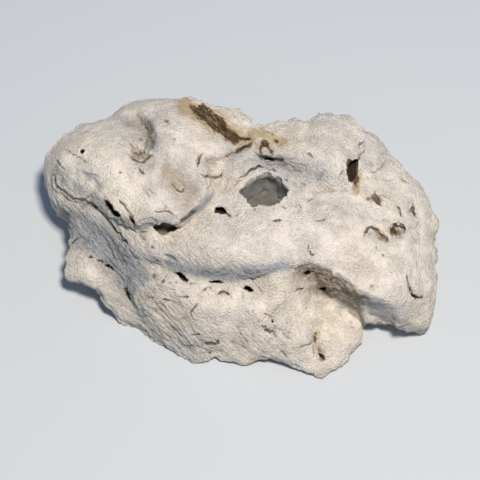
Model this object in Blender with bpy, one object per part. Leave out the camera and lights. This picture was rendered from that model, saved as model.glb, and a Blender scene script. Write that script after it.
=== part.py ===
"""Holey limestone rock, one solid, about 160 mm long.

The rock lies on a level surface. Its broad top face leans back, so most places on it are set out on a
leaning plane: "across" runs to the right, "up" runs up the plane's slope, and both start at the plane's
middle. A place's third number is its height above the surface the rock lies on. Sizes here are in
millimetres and the finished mesh is in metres.
"""

import math

import bmesh
import bpy
import numpy as np
from mathutils import Vector, noise

METRE = 0.001

# The leaning plane on which the face is set out.
PLANE_LEAN = math.radians(58.0)  # how far the plane's normal stands above level
PLANE_MIDDLE = np.array([0.3, -7.0, 25.0])
SIGHT_LINE = 1000.0  # places are set out along lines that meet this far out on the plane's normal

ACROSS = np.array([1.0, 0.0, 0.0])
UP = np.array([0.0, math.sin(PLANE_LEAN), math.cos(PLANE_LEAN)])
OUT = np.array([0.0, -math.cos(PLANE_LEAN), math.sin(PLANE_LEAN)])
EYE = PLANE_MIDDLE + SIGHT_LINE * OUT

STEEPEST = 1.85  # height gained per unit of up on a wall that stands almost upright
NARROWEST_WALL = 0.3  # a ledge's wall is at least this wide in the layout
LEDGE_FADE = 2.0  # a ledge dies away over this length beyond its ends

# How each lump is closed below: (height of its underside, squareness of its flanks).
LEFT_UNDER = (-0.8, 3.0)
WING_UNDER = (-0.5, 2.6)
APRON_UNDER = (-0.8, 3.0)
FOOT_UNDER = (9.0, 2.4)
CORE_RISE = 10.0  # a lump's flanks close in on a point this far above its underside
LUMP_FINENESS = 7  # subdivisions of the ball that a lump starts as

# Rings of a pocket, from its mouth to its end: (share of the depth, size, share of the belly).
POCKET_RINGS = (
    (-0.25, 1.0, 0.0), (0.0, 1.0, 0.0), (0.3, 1.0, 1.0), (0.6, 1.0, 0.8), (0.85, 0.75, 0.0), (1.0, 0.35, 0.0),
)
MOUTH_POINTS_PER_SPAN = 4

VOXEL = 0.8  # grain of the working mesh
ROUNDS_BEFORE_CUTTING = 2
ROUNDS_AFTER_CUTTING = 1
HIDDEN_STARTS, HIDDEN_ENDS = -0.05, -0.45  # how far a surface turns from the eye before it swells freely
MOST_TRIANGLES = 9200
PLANE_TOLERANCE = 1e-6  # metres
SLIVER = 2e-5  # metres; shorter edges along the flat underside are closed up

ROCK_COLOUR = (0.72, 0.67, 0.59, 1.0)
ROCK_ROUGHNESS = 0.92

# Height of the upper mass's top surface: (across, up, height).
UPPER_SPOTS = (
    (-77, 27, 34), (-74, 17, 30), (-68, 37, 39), (-68, 28, 39), (-68, 12, 29), (-59, 43, 41),
    (-60, 33, 43), (-61, 20, 38), (-58, 13, 35), (-61, 4, 25), (-53, 46, 42), (-50, 30, 46),
    (-50, 18, 42), (-50, 5, 33), (-52, -4, 23), (-48, -10, 19), (-43, -22, 15), (-44, 51, 41),
    (-42, 26, 46), (-41, 14, 42), (-42, 2, 36), (-41, -6, 30), (-37, -12, 26), (-32, 54, 42),
    (-26, 46, 48), (-26, 34, 48), (-26, 24, 46), (-26, 12, 44), (-28, 1, 39), (-27, -5, 36),
    (-25, -12, 28), (-18, 52, 43), (-16, 44, 46), (-14, 30, 44), (-9, 23, 40), (-10, 10, 40),
    (-10, 0, 41), (-10, -6, 39), (-10, -11.5, 35), (-10, -17, 25), (-4, 48, 38), (2, 43, 38),
    (-2, 32, 43), (-4, 18, 40), (8, 40, 40), (10, 33, 43), (11, 10, 41), (11, 0, 41),
    (4, -7, 39), (3, -12.5, 35), (3, -18, 25), (14, -10, 36), (20, 45, 38), (20, 36, 42),
    (24, 28, 42), (22, 19, 39), (22, 8, 41), (28, -6, 37), (30, 47, 40), (33, 38, 45),
    (35, 29, 44), (33, 19, 38), (40, 10, 40), (44, -4, 38), (38, -11, 34), (44, 42, 39),
    (43, 26, 41), (49, 30, 37), (55, 36, 34), (50, 20, 36), (57, 26, 33), (64, 22, 31),
    (58, 6, 34), (57, -8, 33), (48, -17, 31), (68, 10, 31), (66, -4, 31), (76, 12, 25),
    (75, -2, 24), (70, -14, 27), (76, -18, 20), (57, -20, 29), (65, -24, 25), (74, -30, 13),
    (66, -29, 19), (72, -34, 10), (48, -22, 30), (55, -26, 27), (50, -31, 25), (60, -31, 22),
    (66, -35, 15), (71, -36, 10),
)
# Height of the lower shelf's top surface, with the cave's back wall and floor.
LOWER_SPOTS = (
    (-69, -4, 17), (-68, -13, 16), (-60, -4, 20), (-60, -14, 18), (-54, -9, 17), (-54, -18, 15),
    (-50, -17, 16), (-49, -26, 11), (-46, -24, 14), (-44, -31, 6), (-40, -18, 22), (-37, -26, 19),
    (-36, -34, 8), (-30, -16, 26), (-28, -26, 21), (-26, -36, 13), (-24, -43, 5), (-18, -19, 26),
    (-16, -28, 23), (-15, -38, 15), (-16, -47, 4), (-6, -20, 26), (-6, -30, 22), (-6, -40, 12),
    (-4, -46, 6), (5, -21, 26), (6, -30, 23), (5, -38, 16), (4, -47, 5), (14, -16, 31),
    (15, -25, 25), (16, -34, 18), (15, -44, 10), (19, -13, 33), (20, -21, 25), (22, -30, 17),
    (24, -38, 13), (24, -47, 8), (26, -12, 30), (25, -17, 23), (27, -22, 17), (33, -13, 28),
    (31, -19, 15), (38, -16, 26), (37, -23, 12), (34, -28, 11), (45, -21, 22), (44, -27, 10),
    (50, -25, 18), (49, -29, 8), (42, -33, 8), (34, -36, 10), (32, -45, 8), (32, -53, 3),
    (40, -42, 7), (46, -38, 6), (41, -49, 3), (48, -36, 5), (44, -12, 22), (54, -22, 14), (36, -8, 26),
    (24, -4, 30), (0, -4, 28), (-20, -4, 26), (-38, -6, 24), (-48, -2, 20), (-60, 4, 18),
)

# Strokes that carve the two top surfaces: (path, rise, reach). Negative rise digs.
UPPER_STROKES = (
    (((-45, 47), (-41, 44), (-39, 39)), -2.6, 5.0),  # hollow on the head
    (((-37, 37), (-40, 33)), -1.2, 3.5),
    (((-31, 44), (-30, 37), (-32, 29), (-35, 22)), 1.2, 3.0),  # ridge beside the hollow
    (((-24, 25), (-21, 20)), -2.2, 6.0),  # shallow bowl
    (((-60, 23.5), (-59, 22.5)), -0.9, 2.6),  # thumb dent
    (((-67, 22), (-72, 24)), -0.7, 3.0),
    (((-55, 37), (-50, 38)), 0.8, 5.0),
    (((-16, 51), (-11, 48), (-6, 44), (-2, 41)), -2.6, 2.6),  # stained groove behind the head
    (((-3, 36.5), (-6, 33)), -1.4, 2.2),
    (((-8, 24), (-3, 22)), -1.2, 4.0),
    (((3, 29), (9, 31)), 0.9, 2.4),  # brow over the eye
    (((9, 32.7), (15.5, 31.8)), -1.6, 1.3),
    (((11, 37.5), (12.5, 35.5)), -0.9, 1.6),
    (((24, 46), (27, 42)), -1.0, 2.5),
    (((21, 19.6), (32, 19), (43, 19.6)), -0.8, 1.8),  # valley right of the eye
    (((47, 34), (49, 38)), -1.0, 1.6),
    (((53, 30), (58.5, 31)), -0.8, 2.0),
    (((62.5, 4), (63, 3.6)), -2.2, 2.1),  # largest pit of the wing
    (((52, 3.2), (54.5, 3.4)), -1.3, 1.5),
    (((56.5, 2), (58.5, 0)), -1.2, 1.1),
    (((54, 17), (55.5, 15.5)), -1.3, 1.2),
    (((63.4, 12.6), (64.2, 10.4)), -1.2, 1.0),
    (((68.8, 11.2), (69.4, 11.8)), -1.3, 1.2),
    (((55, 0), (58, 9), (53, 15)), -0.8, 6.0),  # shallow hollow that holds the pits
    (((67.5, -18), (69, -21.5), (72, -22.8)), -1.6, 1.2),  # curved slot at the corner
    (((71, -17), (72, -19)), -0.6, 2.4),
    (((30, 2), (38, 6)), 0.6, 7.0),
    (((-35, -9), (-30, -10)), -1.4, 1.8),
    (((-62, 4), (-55, -2), (-48, -9)), -1.0, 4.0),  # flank above the foot
    (((-55, 5), (-49, -2), (-44, -9)), 0.8, 2.4),
    (((77, -10), (73, -9)), -0.8, 2.0),
    (((76, 0.5), (72, 1)), -0.7, 2.0),
)
LOWER_STROKES = (
    (((-52, -10.5), (-49, -14), (-46, -20), (-43, -25)), -2.2, 2.4),  # groove beside the foot
    (((-62, -9), (-58, -13)), 0.8, 4.0),
    (((-42, -22), (-36, -30), (-30, -38)), 0.8, 1.8),  # flutes on the apron's left
    (((-38, -21), (-32, -29), (-25, -38)), -0.8, 1.6),
    (((-33, -21), (-27, -30), (-20, -40)), 0.7, 1.6),
    (((-28, -22), (-22, -31), (-15, -42)), -0.7, 1.5),
    (((-12, -45), (-8, -45)), -2.4, 2.2),  # recess at the bottom edge
    (((-14, -41), (-10, -41.5)), -1.0, 1.2),
    (((10, -36.5), (14, -38)), -1.3, 1.8),
    (((12, -31.3), (12.8, -32.2)), -2.0, 1.1),
    (((15, -35), (19, -38.5)), -0.9, 1.1),
    (((-6, -21), (-5, -22.5)), -0.9, 1.6),
    (((0, -34), (0.5, -38)), -0.6, 1.6),
    (((-16, -28), (-4, -27), (6, -27)), 0.8, 4.5),
    (((31, -40), (33, -48)), -1.8, 1.8),
    (((33, -50), (32.5, -53)), 0.8, 1.6),
    (((28, -34), (23, -41)), 0.9, 2.6),
    (((38, -30), (33, -33)), -1.0, 5.0),  # bowl of the cave's floor
    (((24, -20.5), (29, -20)), -0.7, 1.2),
    (((26, -13.5), (31, -15), (37, -18)), -1.6, 2.0),
    (((34, -19.2), (33, -19.5)), -1.8, 1.2),
)

# Ledges: (path, drop, lip, back, recover). The surface stands by lip above itself on the left-hand
# side of the path, dies away over back, and lies by drop below on the right, dying away over recover.
UPPER_LEDGES = (
    (((-39, 51), (-36.5, 47.5), (-34.6, 45), (-33.7, 41.5), (-34.3, 38), (-35.5, 35)), 4.2, 1.2, 4, 6),
    (((-75, 26), (-74, 22.5), (-72, 20), (-69.5, 18.8), (-66.5, 16.3), (-63, 16.2), (-60, 15),
      (-57, 13.8), (-54.5, 11), (-51.5, 7.5), (-48, 3.5), (-45, 0)), 2.0, 0.5, 3, 3),
    (((-64, 27.6), (-60, 26.3), (-57.3, 25), (-56, 21.5)), 0.9, 0.3, 3, 3),
    (((-57, 18), (-53, 14.8), (-48, 10), (-44, 8.2), (-41, 7), (-38, 8), (-35, 9.2), (-31, 8),
      (-27, 7), (-24, 7.8), (-21, 10.5), (-17, 14.6), (-14, 18), (-13.5, 22), (-15, 26), (-15.5, 30)),
     5.0, 1.4, 5, 8),
    (((3, 39.3), (-1, 38.6), (-4, 39.5), (-9, 42.5), (-14, 46), (-18, 49.5), (-22, 54)), 3.2, 0.6, 5, 5),
    (((-1, 24.5), (1.5, 25.7), (4, 27.3), (6.5, 29.6), (9, 30.2)), 0.9, 0.4, 3, 3),
    (((7.5, 33.7), (9.5, 32.8), (12.5, 31.9), (17, 31.7), (22, 30.4)), 1.8, 0.5, 4, 5),
    (((-5.5, 34), (-2, 37.5), (1, 37.6), (4, 38.6)), 1.2, 0.4, 2, 3),
    (((46.5, 33), (44.3, 30), (43.7, 27), (44.4, 24), (44.8, 20)), 0.4, 0.8, 4, 4),
    (((-42, -5), (-38, -7.6), (-33, -9), (-28, -11.5)), 1.4, 0.4, 3, 5),
    (((-62, 10), (-56, 5), (-50, -1), (-44, -7)), 0.8, 0.2, 3, 3),
    (((41, -15), (45, -18.5), (50, -20.5), (55, -23), (60, -25), (62.5, -27.5), (64.5, -32), (70, -33.5),
      (75, -35)), 13, 0.6, 4, 60),
)
LOWER_LEDGES = (
    (((21, -16), (19.4, -20), (19, -24), (16, -26.5), (13.5, -29)), -0.8, -0.2, 3, 3),
    (((-30, -16.6), (-24, -17), (-18, -17.2)), -0.8, 0.0, 2, 3),
)

# Edges of the lumps: (across, up, edge radius), clockwise.
LEFT_MIDDLE = (-36.0, 16.0)
LEFT_EDGE = (
    (-78.4, 26.4, 12), (-77.2, 31.2, 12), (-75.2, 34.4, 11), (-71.2, 40, 10), (-63.2, 45.2, 8),
    (-52.8, 49.2, 8), (-44.8, 53.6, 7), (-36, 56, 7), (-20.8, 56.8, 5), (-17.6, 56, 4),
    (-11.2, 52.8, 3), (-1.6, 51.2, 3), (4, 47.6, 3), (5.6, 45.2, 3), (20, 40, 3), (30, 26, 3),
    (28, 4, 3), (24, -8, 3), (20.8, -11.2, 2), (14, -12.4, 2), (7.2, -14.8, 2.5), (0, -16.4, 3),
    (-10, -16.8, 3), (-21.6, -16.4, 3), (-28, -13.2, 3), (-35.2, -14, 4), (-39.2, -19.2, 3),
    (-42, -25.2, 2), (-43.6, -23.2, 2), (-46, -18, 2), (-48.8, -12.8, 2), (-52.8, -9.2, 2),
    (-58, -6.8, 2), (-63.2, -2.4, 3), (-67.2, 3.2, 4), (-68.4, 10.4, 6), (-74, 14.8, 9),
    (-77.2, 21.2, 12),
)
WING_MIDDLE = (48.0, 14.0)
WING_EDGE = (
    (5.6, 45.2, 3), (10.4, 45.6, 3), (16, 46.8, 4), (21.6, 48.4, 4), (26.8, 46.8, 4), (32.8, 49.6, 4),
    (42.4, 49.2, 4), (48.8, 44.8, 4), (54.8, 40.8, 4), (59.2, 34, 3), (64.8, 28.8, 3), (68.4, 26, 3),
    (72.4, 21.2, 3), (76.4, 14.4, 3), (79.2, 7.6, 3), (77.2, 0.8, 3), (78.8, -4.8, 3),
    (77.6, -9.6, 3), (78.4, -16, 2.5), (76.8, -26, 2), (74.4, -35.8, 1), (70, -36, 1),
    (65.4, -35.2, 1), (63, -33.6, 1), (60, -32.2, 1), (54, -31.8, 1), (51.4, -32.4, 1), (49.8, -29, 1),
    (49.2, -24, 1), (47.2, -20, 1.5), (42.4, -16.4, 1.5), (38.4, -15.6, 1.5), (35.2, -12.4, 1.5),
    (30.4, -10, 1.5), (25.6, -9.6, 1.5), (20.8, -11.2, 1.5), (4, -6, 2), (-2, 12, 2), (0, 34, 2),
)
APRON_MIDDLE = (0.0, -24.0)
APRON_EDGE = (
    (48.8, -34.4, 2), (48.4, -40.4, 2), (44, -46.8, 2), (39.6, -50.8, 2), (33.6, -54.4, 1.5),
    (32, -54.8, 1.5), (27.2, -52.4, 1.5), (18.8, -48.8, 1.5), (8.8, -46.4, 1.5), (2, -49.6, 1.5),
    (-4.8, -47.6, 1.5), (-12, -46.8, 1.5), (-16.8, -49.2, 1.5), (-23.6, -46, 1.5), (-32.8, -40, 1.5),
    (-42.4, -33.6, 1.5), (-48.4, -31.2, 1.5), (-50, -22, 2), (-46, -10, 2), (-36, -4, 2), (-16, 0, 2),
    (24, -2, 2), (44, -12, 2), (54, -24, 2), (51, -31.5, 2),
)
FOOT_MIDDLE = (-58.0, -10.0)
FOOT_EDGE = (
    (-68.4, 7.2, 2), (-68, 1.6, 2), (-67.6, -2, 2), (-68.8, -5.6, 2.5), (-69.6, -9.6, 3),
    (-70, -12.8, 3), (-68, -15.2, 3), (-60.8, -17.2, 2.5), (-54.8, -21.6, 2.5), (-53.6, -24.8, 2),
    (-50.8, -27.6, 2), (-47.2, -32, 2), (-42, -33, 2), (-40, -24, 2), (-46, -12, 2), (-54, 0, 2),
    (-62, 7.2, 2),
)

# Pockets cut into the rock: (mouth, depth, direction, belly).
DOWN = (0.0, 0.0, -1.0)
INWARD = tuple(-OUT)
UPPER_POCKETS = (
    (((-0.6, 19.8), (1.5, 22.6), (6.5, 25.8), (11, 27.2), (15, 25.8), (17.6, 23), (20.8, 19.7),
      (17.6, 17.6), (15.2, 14.4), (10, 14), (5, 13.9), (1.8, 16.8)), 24, DOWN, 0.04),
    (((46.4, 31.5), (44.2, 30), (43.5, 27), (44.6, 23.4), (44.8, 19.5), (46, 19.5), (47.6, 23),
      (47.4, 26.5), (47.2, 30)), 9, (-0.3, 0.48, -0.82), 0.15),
    (((-34, 5.4), (-31.5, 6.4), (-27.5, 6.4), (-24.6, 5.2), (-27.5, 3), (-31.8, 2.2)), 10, INWARD, 0.1),
    (((-53.6, 15.6), (-52, 14.9), (-50, 12.6), (-48.2, 10.4), (-48.8, 9.4), (-51, 11), (-53, 13.2)),
     6, INWARD, 0.1),
    (((-43.8, 8.9), (-42.6, 8.9), (-41.6, 7.4), (-42.4, 7), (-43.6, 8)), 5, INWARD, 0.1),
    (((-10.4, 11), (-9.2, 13.2), (-7.4, 13.4), (-5.2, 10.8), (-8, 10.2)), 7, INWARD, 0.1),
    (((-64.2, 35.2), (-63, 36), (-62.1, 35.4), (-63, 34.6)), 6, INWARD, 0.0),
    (((60.2, 5.4), (62.4, 4.8), (65.2, 4.2), (64.4, 2.6), (62.4, 1.9), (60.6, 3.2)), 4, INWARD, 0.1),
    (((67.6, -19.5), (68.6, -21.3), (70.6, -22.2), (73, -22.8), (70.6, -23.4), (68.2, -22)),
     4, INWARD, 0.0),
    (((8, 33.6), (10, 33.2), (15.6, 32.6), (15.4, 31.6), (11, 31.8), (8.6, 32.8)), 4, INWARD, 0.0),
)
LOWER_POCKETS = (
    (((-26.6, -13.4), (-24.4, -12.8), (-22.6, -14), (-21.4, -15.8), (-24, -15)), 6, INWARD, 0.1),
    (((-12.2, -16.6), (-9, -15.6), (-6.6, -16.8), (-9, -17.3)), 6, INWARD, 0.1),
    (((1, -19.6), (2.8, -18.8), (5.2, -20.2), (2.8, -20.4)), 5, INWARD, 0.1),
    (((-54, -9.8), (-51.8, -9.6), (-49.4, -12), (-50.4, -13), (-52.6, -11.4)), 6, INWARD, 0.1),
    (((-46.2, -18.8), (-45, -19.2), (-43.2, -23.6), (-44.2, -24)), 5, INWARD, 0.1),
    (((11.4, -31), (12.6, -31), (13.2, -32.4), (12.4, -32.6)), 4, INWARD, 0.0),
    (((32, -19.4), (34.2, -18.4), (35.2, -19.2), (33.6, -20)), 5, INWARD, 0.1),
    (((30.8, -45), (32.6, -45.2), (34, -47.5), (33, -49.2), (31, -47)), 4, INWARD, 0.1),
    (((-12.8, -44.6), (-11.4, -44.6), (-11.4, -46), (-12.8, -46)), 4, INWARD, 0.0),
    (((24.6, -12.6), (27, -12), (27.4, -13.6), (25, -14)), 4, INWARD, 0.0),
    (((29, -10.8), (31.2, -10.8), (31.2, -12.2), (29, -12)), 4, INWARD, 0.0),
)

# Swells of the surface: (wave length, height on the face, height on the back and underside).
SWELLS = ((30.0, 0.0, 3.2), (13.0, 0.7, 2.4), (5.5, 0.45, 0.9))
# Hollows on the back and the underside: (place, radius, depth).
BACK_DENTS = (
    ((-50, 31, 24), 9, 3.5), ((-22, 45, 22), 8, 4), ((12, 37, 18), 11, 5), ((40, 41, 24), 7, 3),
    ((66, 19, 16), 8, 3), ((-64, 9, 12), 8, 3), ((20, 3, 3), 12, 3), ((-20, 13, 0), 9, 3),
)


def place(across, up, height):
    """Points of the leaning plane, moved along their sight lines to a height above the surface."""
    on_plane = PLANE_MIDDLE + np.multiply.outer(across, ACROSS) + np.multiply.outer(up, UP)
    along = (height - EYE[2]) / (on_plane[..., 2] - EYE[2])
    return EYE + along[..., None] * (on_plane - EYE)


def thin_plate(spots):
    """A smooth height function of (across, up) that passes through the spots."""
    spots = np.array(spots, float)
    where, heights = spots[:, :2], spots[:, 2]

    def bend(distance):
        return distance**2 * np.log(np.maximum(distance, 1e-9))

    apart = np.linalg.norm(where[:, None] - where[None], axis=2)
    flat = np.hstack([np.ones((len(spots), 1)), where])
    system = np.block([[bend(apart), flat], [flat.T, np.zeros((3, 3))]])
    weights = np.linalg.solve(system, np.concatenate([heights, np.zeros(3)]))

    def height_at(across, up):
        here = np.stack([across, up], axis=-1)
        away = np.linalg.norm(here[:, None] - where[None], axis=2)
        return bend(away) @ weights[:-3] + weights[-3] + here @ weights[-2:]

    return height_at


def closed_curve(points, per_span=10):
    """A closed Catmull-Rom curve through the points."""
    points = np.array(points, float)
    before, after, beyond = (np.roll(points, shift, axis=0) for shift in (1, -1, -2))
    t = (np.arange(per_span) / per_span)[None, :, None]
    p0, p1, p2, p3 = (p[:, None] for p in (before, points, after, beyond))
    curve = 0.5 * (2 * p1 + (p2 - p0) * t + (2 * p0 - 5 * p1 + 4 * p2 - p3) * t**2
                   + (3 * p1 - p0 - 3 * p2 + p3) * t**3)
    return curve.reshape(-1, points.shape[1])


def nearest_on_path(path, across, up):
    """Signed distance to a path, positive on its left, and how far a place lies beyond its ends."""
    nearest = np.full(across.shape, np.inf)
    signed = np.zeros(across.shape)
    beyond = np.zeros(across.shape)
    last = len(path) - 2
    for index, (start, end) in enumerate(zip(path, path[1:])):
        step = np.subtract(end, start)
        length = np.linalg.norm(step)
        ahead = ((across - start[0]) * step[0] + (up - start[1]) * step[1]) / length
        aside = ((up - start[1]) * step[0] - (across - start[0]) * step[1]) / length
        outside = np.maximum(0, np.maximum(-ahead, ahead - length))
        distance = np.hypot(aside, outside)
        closer = distance < nearest
        nearest[closer] = distance[closer]
        signed[closer] = (np.sign(aside) * distance)[closer]
        past_end = ((index == 0) & (ahead < 0)) | ((index == last) & (ahead > length))
        beyond[closer] = np.where(past_end, outside, 0)[closer]
    return signed, beyond


def carve(height, across, up, strokes, ledges):
    """Adds strokes and ledges to a height."""
    for path, rise, reach in strokes:
        signed, _ = nearest_on_path(path, across, up)
        height = height + rise * np.exp(-(signed / reach) ** 2)
    for path, drop, lip, back, recover in ledges:
        signed, beyond = nearest_on_path(path, across, up)
        fade = np.exp(-(beyond / LEDGE_FADE) ** 2)
        width = max(abs(drop + lip) / STEEPEST, NARROWEST_WALL)
        raised = lip * np.exp(-np.maximum(signed, 0) / back)
        fallen = -drop * np.exp(np.minimum(signed + width, 0) / recover)
        blend = np.clip(-signed / width, 0, 1)
        height = height + fade * (raised * (1 - blend) + fallen * blend)
    return height


def read_points(mesh):
    points = np.empty(len(mesh.vertices) * 3)
    mesh.vertices.foreach_get("co", points)
    return points.reshape(-1, 3) / METRE


def write_points(mesh, points):
    mesh.vertices.foreach_set("co", (np.round(points, 4) * METRE).ravel())
    mesh.update()


def lump(name, middle, edge, crown, under):
    """A closed lump: crown is its top surface, edge its outline, and under says how it closes below."""
    base, squareness = under
    mesh = bpy.data.meshes.new(name)
    shape = bmesh.new()
    bmesh.ops.create_icosphere(shape, subdivisions=LUMP_FINENESS, radius=1.0)
    shape.to_mesh(mesh)
    shape.free()
    ball = read_points(mesh) * METRE

    curve = closed_curve(edge)
    offset = curve[:, :2] - middle
    curve_angle = np.arctan2(offset[:, 1], offset[:, 0])
    order = np.argsort(curve_angle)
    angle = np.arctan2(ball[:, 1], ball[:, 0])
    share = np.minimum(np.hypot(ball[:, 0], ball[:, 1]), 1.0)

    def around(values):
        return np.interp(angle, curve_angle[order], values[order], period=2 * math.pi)

    reach, radius = around(np.linalg.norm(offset, axis=1)), around(curve[:, 2])
    across = middle[0] + share * reach * np.cos(angle)
    up = middle[1] + share * reach * np.sin(angle)
    into_edge = np.clip(1 - (1 - share) * reach / radius, 0, 1)
    drop = radius * OUT[2] * (1 - np.sqrt(1 - into_edge**2))
    top = place(across, up, crown(across, up) - drop)

    rim_across, rim_up = middle[0] + reach * np.cos(angle), middle[1] + reach * np.sin(angle)
    rim_height = crown(rim_across, rim_up) - radius * OUT[2]
    rim = place(rim_across, rim_up, rim_height)
    core = place(np.array([middle[0]]), np.array([middle[1]]), np.array([base + CORE_RISE]))[0]
    inward = share ** (2 / squareness)
    sunk = np.abs(ball[:, 2]) ** (2 / squareness)
    bottom = core + (rim - core) * inward[:, None]
    bottom[:, 2] = base + (rim_height - base) * (1 - sunk)

    points = np.where(ball[:, 2:] >= 0, top, bottom)
    write_points(mesh, points)
    rock = bpy.data.objects.new(name, mesh)
    bpy.context.scene.collection.objects.link(rock)
    return rock


def pocket(mouth, height_at, depth, into, belly):
    """A closed cutter that runs from above its mouth down into the rock and swells by belly on its way."""
    across, up = closed_curve(mouth, MOUTH_POINTS_PER_SPAN).T
    rim = place(across, up, height_at(across, up))
    mouth_middle = rim.mean(axis=0)
    into = np.array(into) / np.linalg.norm(into)
    shape = bmesh.new()
    rings = []
    for level, size, bulge in POCKET_RINGS:
        ring = mouth_middle + (rim - mouth_middle) * (size + bulge * belly) + into * depth * level
        rings.append([shape.verts.new(point * METRE) for point in ring])
    for upper_ring, lower_ring in zip(rings, rings[1:]):
        for i, vertex in enumerate(upper_ring):
            shape.faces.new((upper_ring[i - 1], vertex, lower_ring[i], lower_ring[i - 1]))
    shape.faces.new(rings[0])
    shape.faces.new(rings[-1])
    bmesh.ops.recalc_face_normals(shape, faces=shape.faces)
    mesh = bpy.data.meshes.new("pocket")
    shape.to_mesh(mesh)
    shape.free()
    cutter = bpy.data.objects.new("pocket", mesh)
    bpy.context.scene.collection.objects.link(cutter)
    return cutter


def apply_modifiers(rock):
    """Replaces the object's mesh by what its modifiers make of it."""
    bpy.context.view_layer.update()
    graph = bpy.context.evaluated_depsgraph_get()
    made = bpy.data.meshes.new_from_object(rock.evaluated_get(graph))
    rock.modifiers.clear()
    rock.data = made


def remesh(rock):
    """Fuses everything in the object into one even skin."""
    modifier = rock.modifiers.new("fuse", "REMESH")
    modifier.mode = "VOXEL"
    modifier.voxel_size = VOXEL * METRE
    apply_modifiers(rock)


def keep_outer_skin(rock):
    """Drops every small closed skin inside the rock, so that it is solid all through."""
    shape = bmesh.new()
    shape.from_mesh(rock.data)
    left = set(shape.verts)
    skins = []
    while left:
        skin = [left.pop()]
        for vertex in skin:
            for edge in vertex.link_edges:
                other = edge.other_vert(vertex)
                if other in left:
                    left.remove(other)
                    skin.append(other)
        skins.append(skin)
    skins.sort(key=len)
    for skin in skins[:-1]:
        bmesh.ops.delete(shape, geom=skin, context="VERTS")
    shape.to_mesh(rock.data)
    shape.free()


def soften(rock, rounds):
    """Evens out the finest unevenness."""
    modifier = rock.modifiers.new("soften", "SMOOTH")
    modifier.iterations = rounds
    apply_modifiers(rock)


def join(name, parts):
    """One object that holds the meshes of all the parts."""
    shape = bmesh.new()
    for part in parts:
        shape.from_mesh(part.data)
        bpy.data.objects.remove(part)
    mesh = bpy.data.meshes.new(name)
    shape.to_mesh(mesh)
    shape.free()
    rock = bpy.data.objects.new(name, mesh)
    bpy.context.scene.collection.objects.link(rock)
    return rock


def cut(rock, cutters):
    """Takes the cutters out of the rock."""
    tool = join("cutter", cutters)
    modifier = rock.modifiers.new("cut", "BOOLEAN")
    modifier.operation = "DIFFERENCE"
    modifier.solver = "EXACT"
    modifier.object = tool
    apply_modifiers(rock)
    bpy.data.objects.remove(tool)


def read_normals(mesh):
    normals = np.empty(len(mesh.vertices) * 3)
    mesh.vertices.foreach_get("normal", normals)
    return normals.reshape(-1, 3)


def smooth_step(low, high, value):
    share = np.clip((value - low) / (high - low), 0, 1)
    return share * share * (3 - 2 * share)


def weather(rock):
    """Uneven swells all over, faint on the face and strong on the back and the underside."""
    points, normals = read_points(rock.data), read_normals(rock.data)
    to_eye = EYE - points
    facing = np.sum(normals * to_eye, axis=1) / np.linalg.norm(to_eye, axis=1)
    hidden = smooth_step(HIDDEN_STARTS, HIDDEN_ENDS, facing)
    swell = np.zeros(len(points))
    for wave, seen, unseen in SWELLS:
        offset = Vector((wave, 2.0 * wave, -wave))
        value = np.array([noise.noise(Vector(point) / wave + offset) for point in points])
        swell += value * (seen + (unseen - seen) * hidden)
    for spot, radius, depth in BACK_DENTS:
        away = np.linalg.norm(points - spot, axis=1)
        swell -= depth * hidden * np.exp(-(away / radius) ** 2)
    write_points(rock.data, points + normals * swell[:, None])


def thin_out(rock, most):
    """Merges the small triangles where the surface is plain."""
    triangles = sum(len(face.vertices) - 2 for face in rock.data.polygons)
    modifier = rock.modifiers.new("thin out", "DECIMATE")
    modifier.ratio = most / triangles
    modifier.use_collapse_triangulate = True
    apply_modifiers(rock)


def stand(rock):
    """Cuts the underside flat at the surface that the rock lies on."""
    shape = bmesh.new()
    shape.from_mesh(rock.data)
    everything = shape.verts[:] + shape.edges[:] + shape.faces[:]
    cut_edges = bmesh.ops.bisect_plane(shape, geom=everything, dist=PLANE_TOLERANCE, plane_co=(0, 0, 0),
                                       plane_no=(0, 0, -1), clear_outer=True)["geom_cut"]
    edges = [item for item in cut_edges if isinstance(item, bmesh.types.BMEdge)]
    bmesh.ops.triangle_fill(shape, edges=edges, use_beauty=True, normal=(0, 0, -1))
    bmesh.ops.dissolve_degenerate(shape, edges=shape.edges[:], dist=SLIVER)
    bmesh.ops.triangulate(shape, faces=shape.faces[:])
    shape.to_mesh(rock.data)
    shape.free()


def centre(rock):
    """Puts the middle of the rock's box over the origin."""
    points = read_points(rock.data)
    middle = (points.min(axis=0) + points.max(axis=0)) / 2
    write_points(rock.data, points - (middle[0], middle[1], 0))


def limestone():
    """Chalky, quite matt stone."""
    material = bpy.data.materials.new("chalky limestone")
    material.use_nodes = True
    shader = material.node_tree.nodes["Principled BSDF"]
    shader.inputs["Base Color"].default_value = ROCK_COLOUR
    shader.inputs["Roughness"].default_value = ROCK_ROUGHNESS
    shader.inputs["Metallic"].default_value = 0.0
    return material


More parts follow.
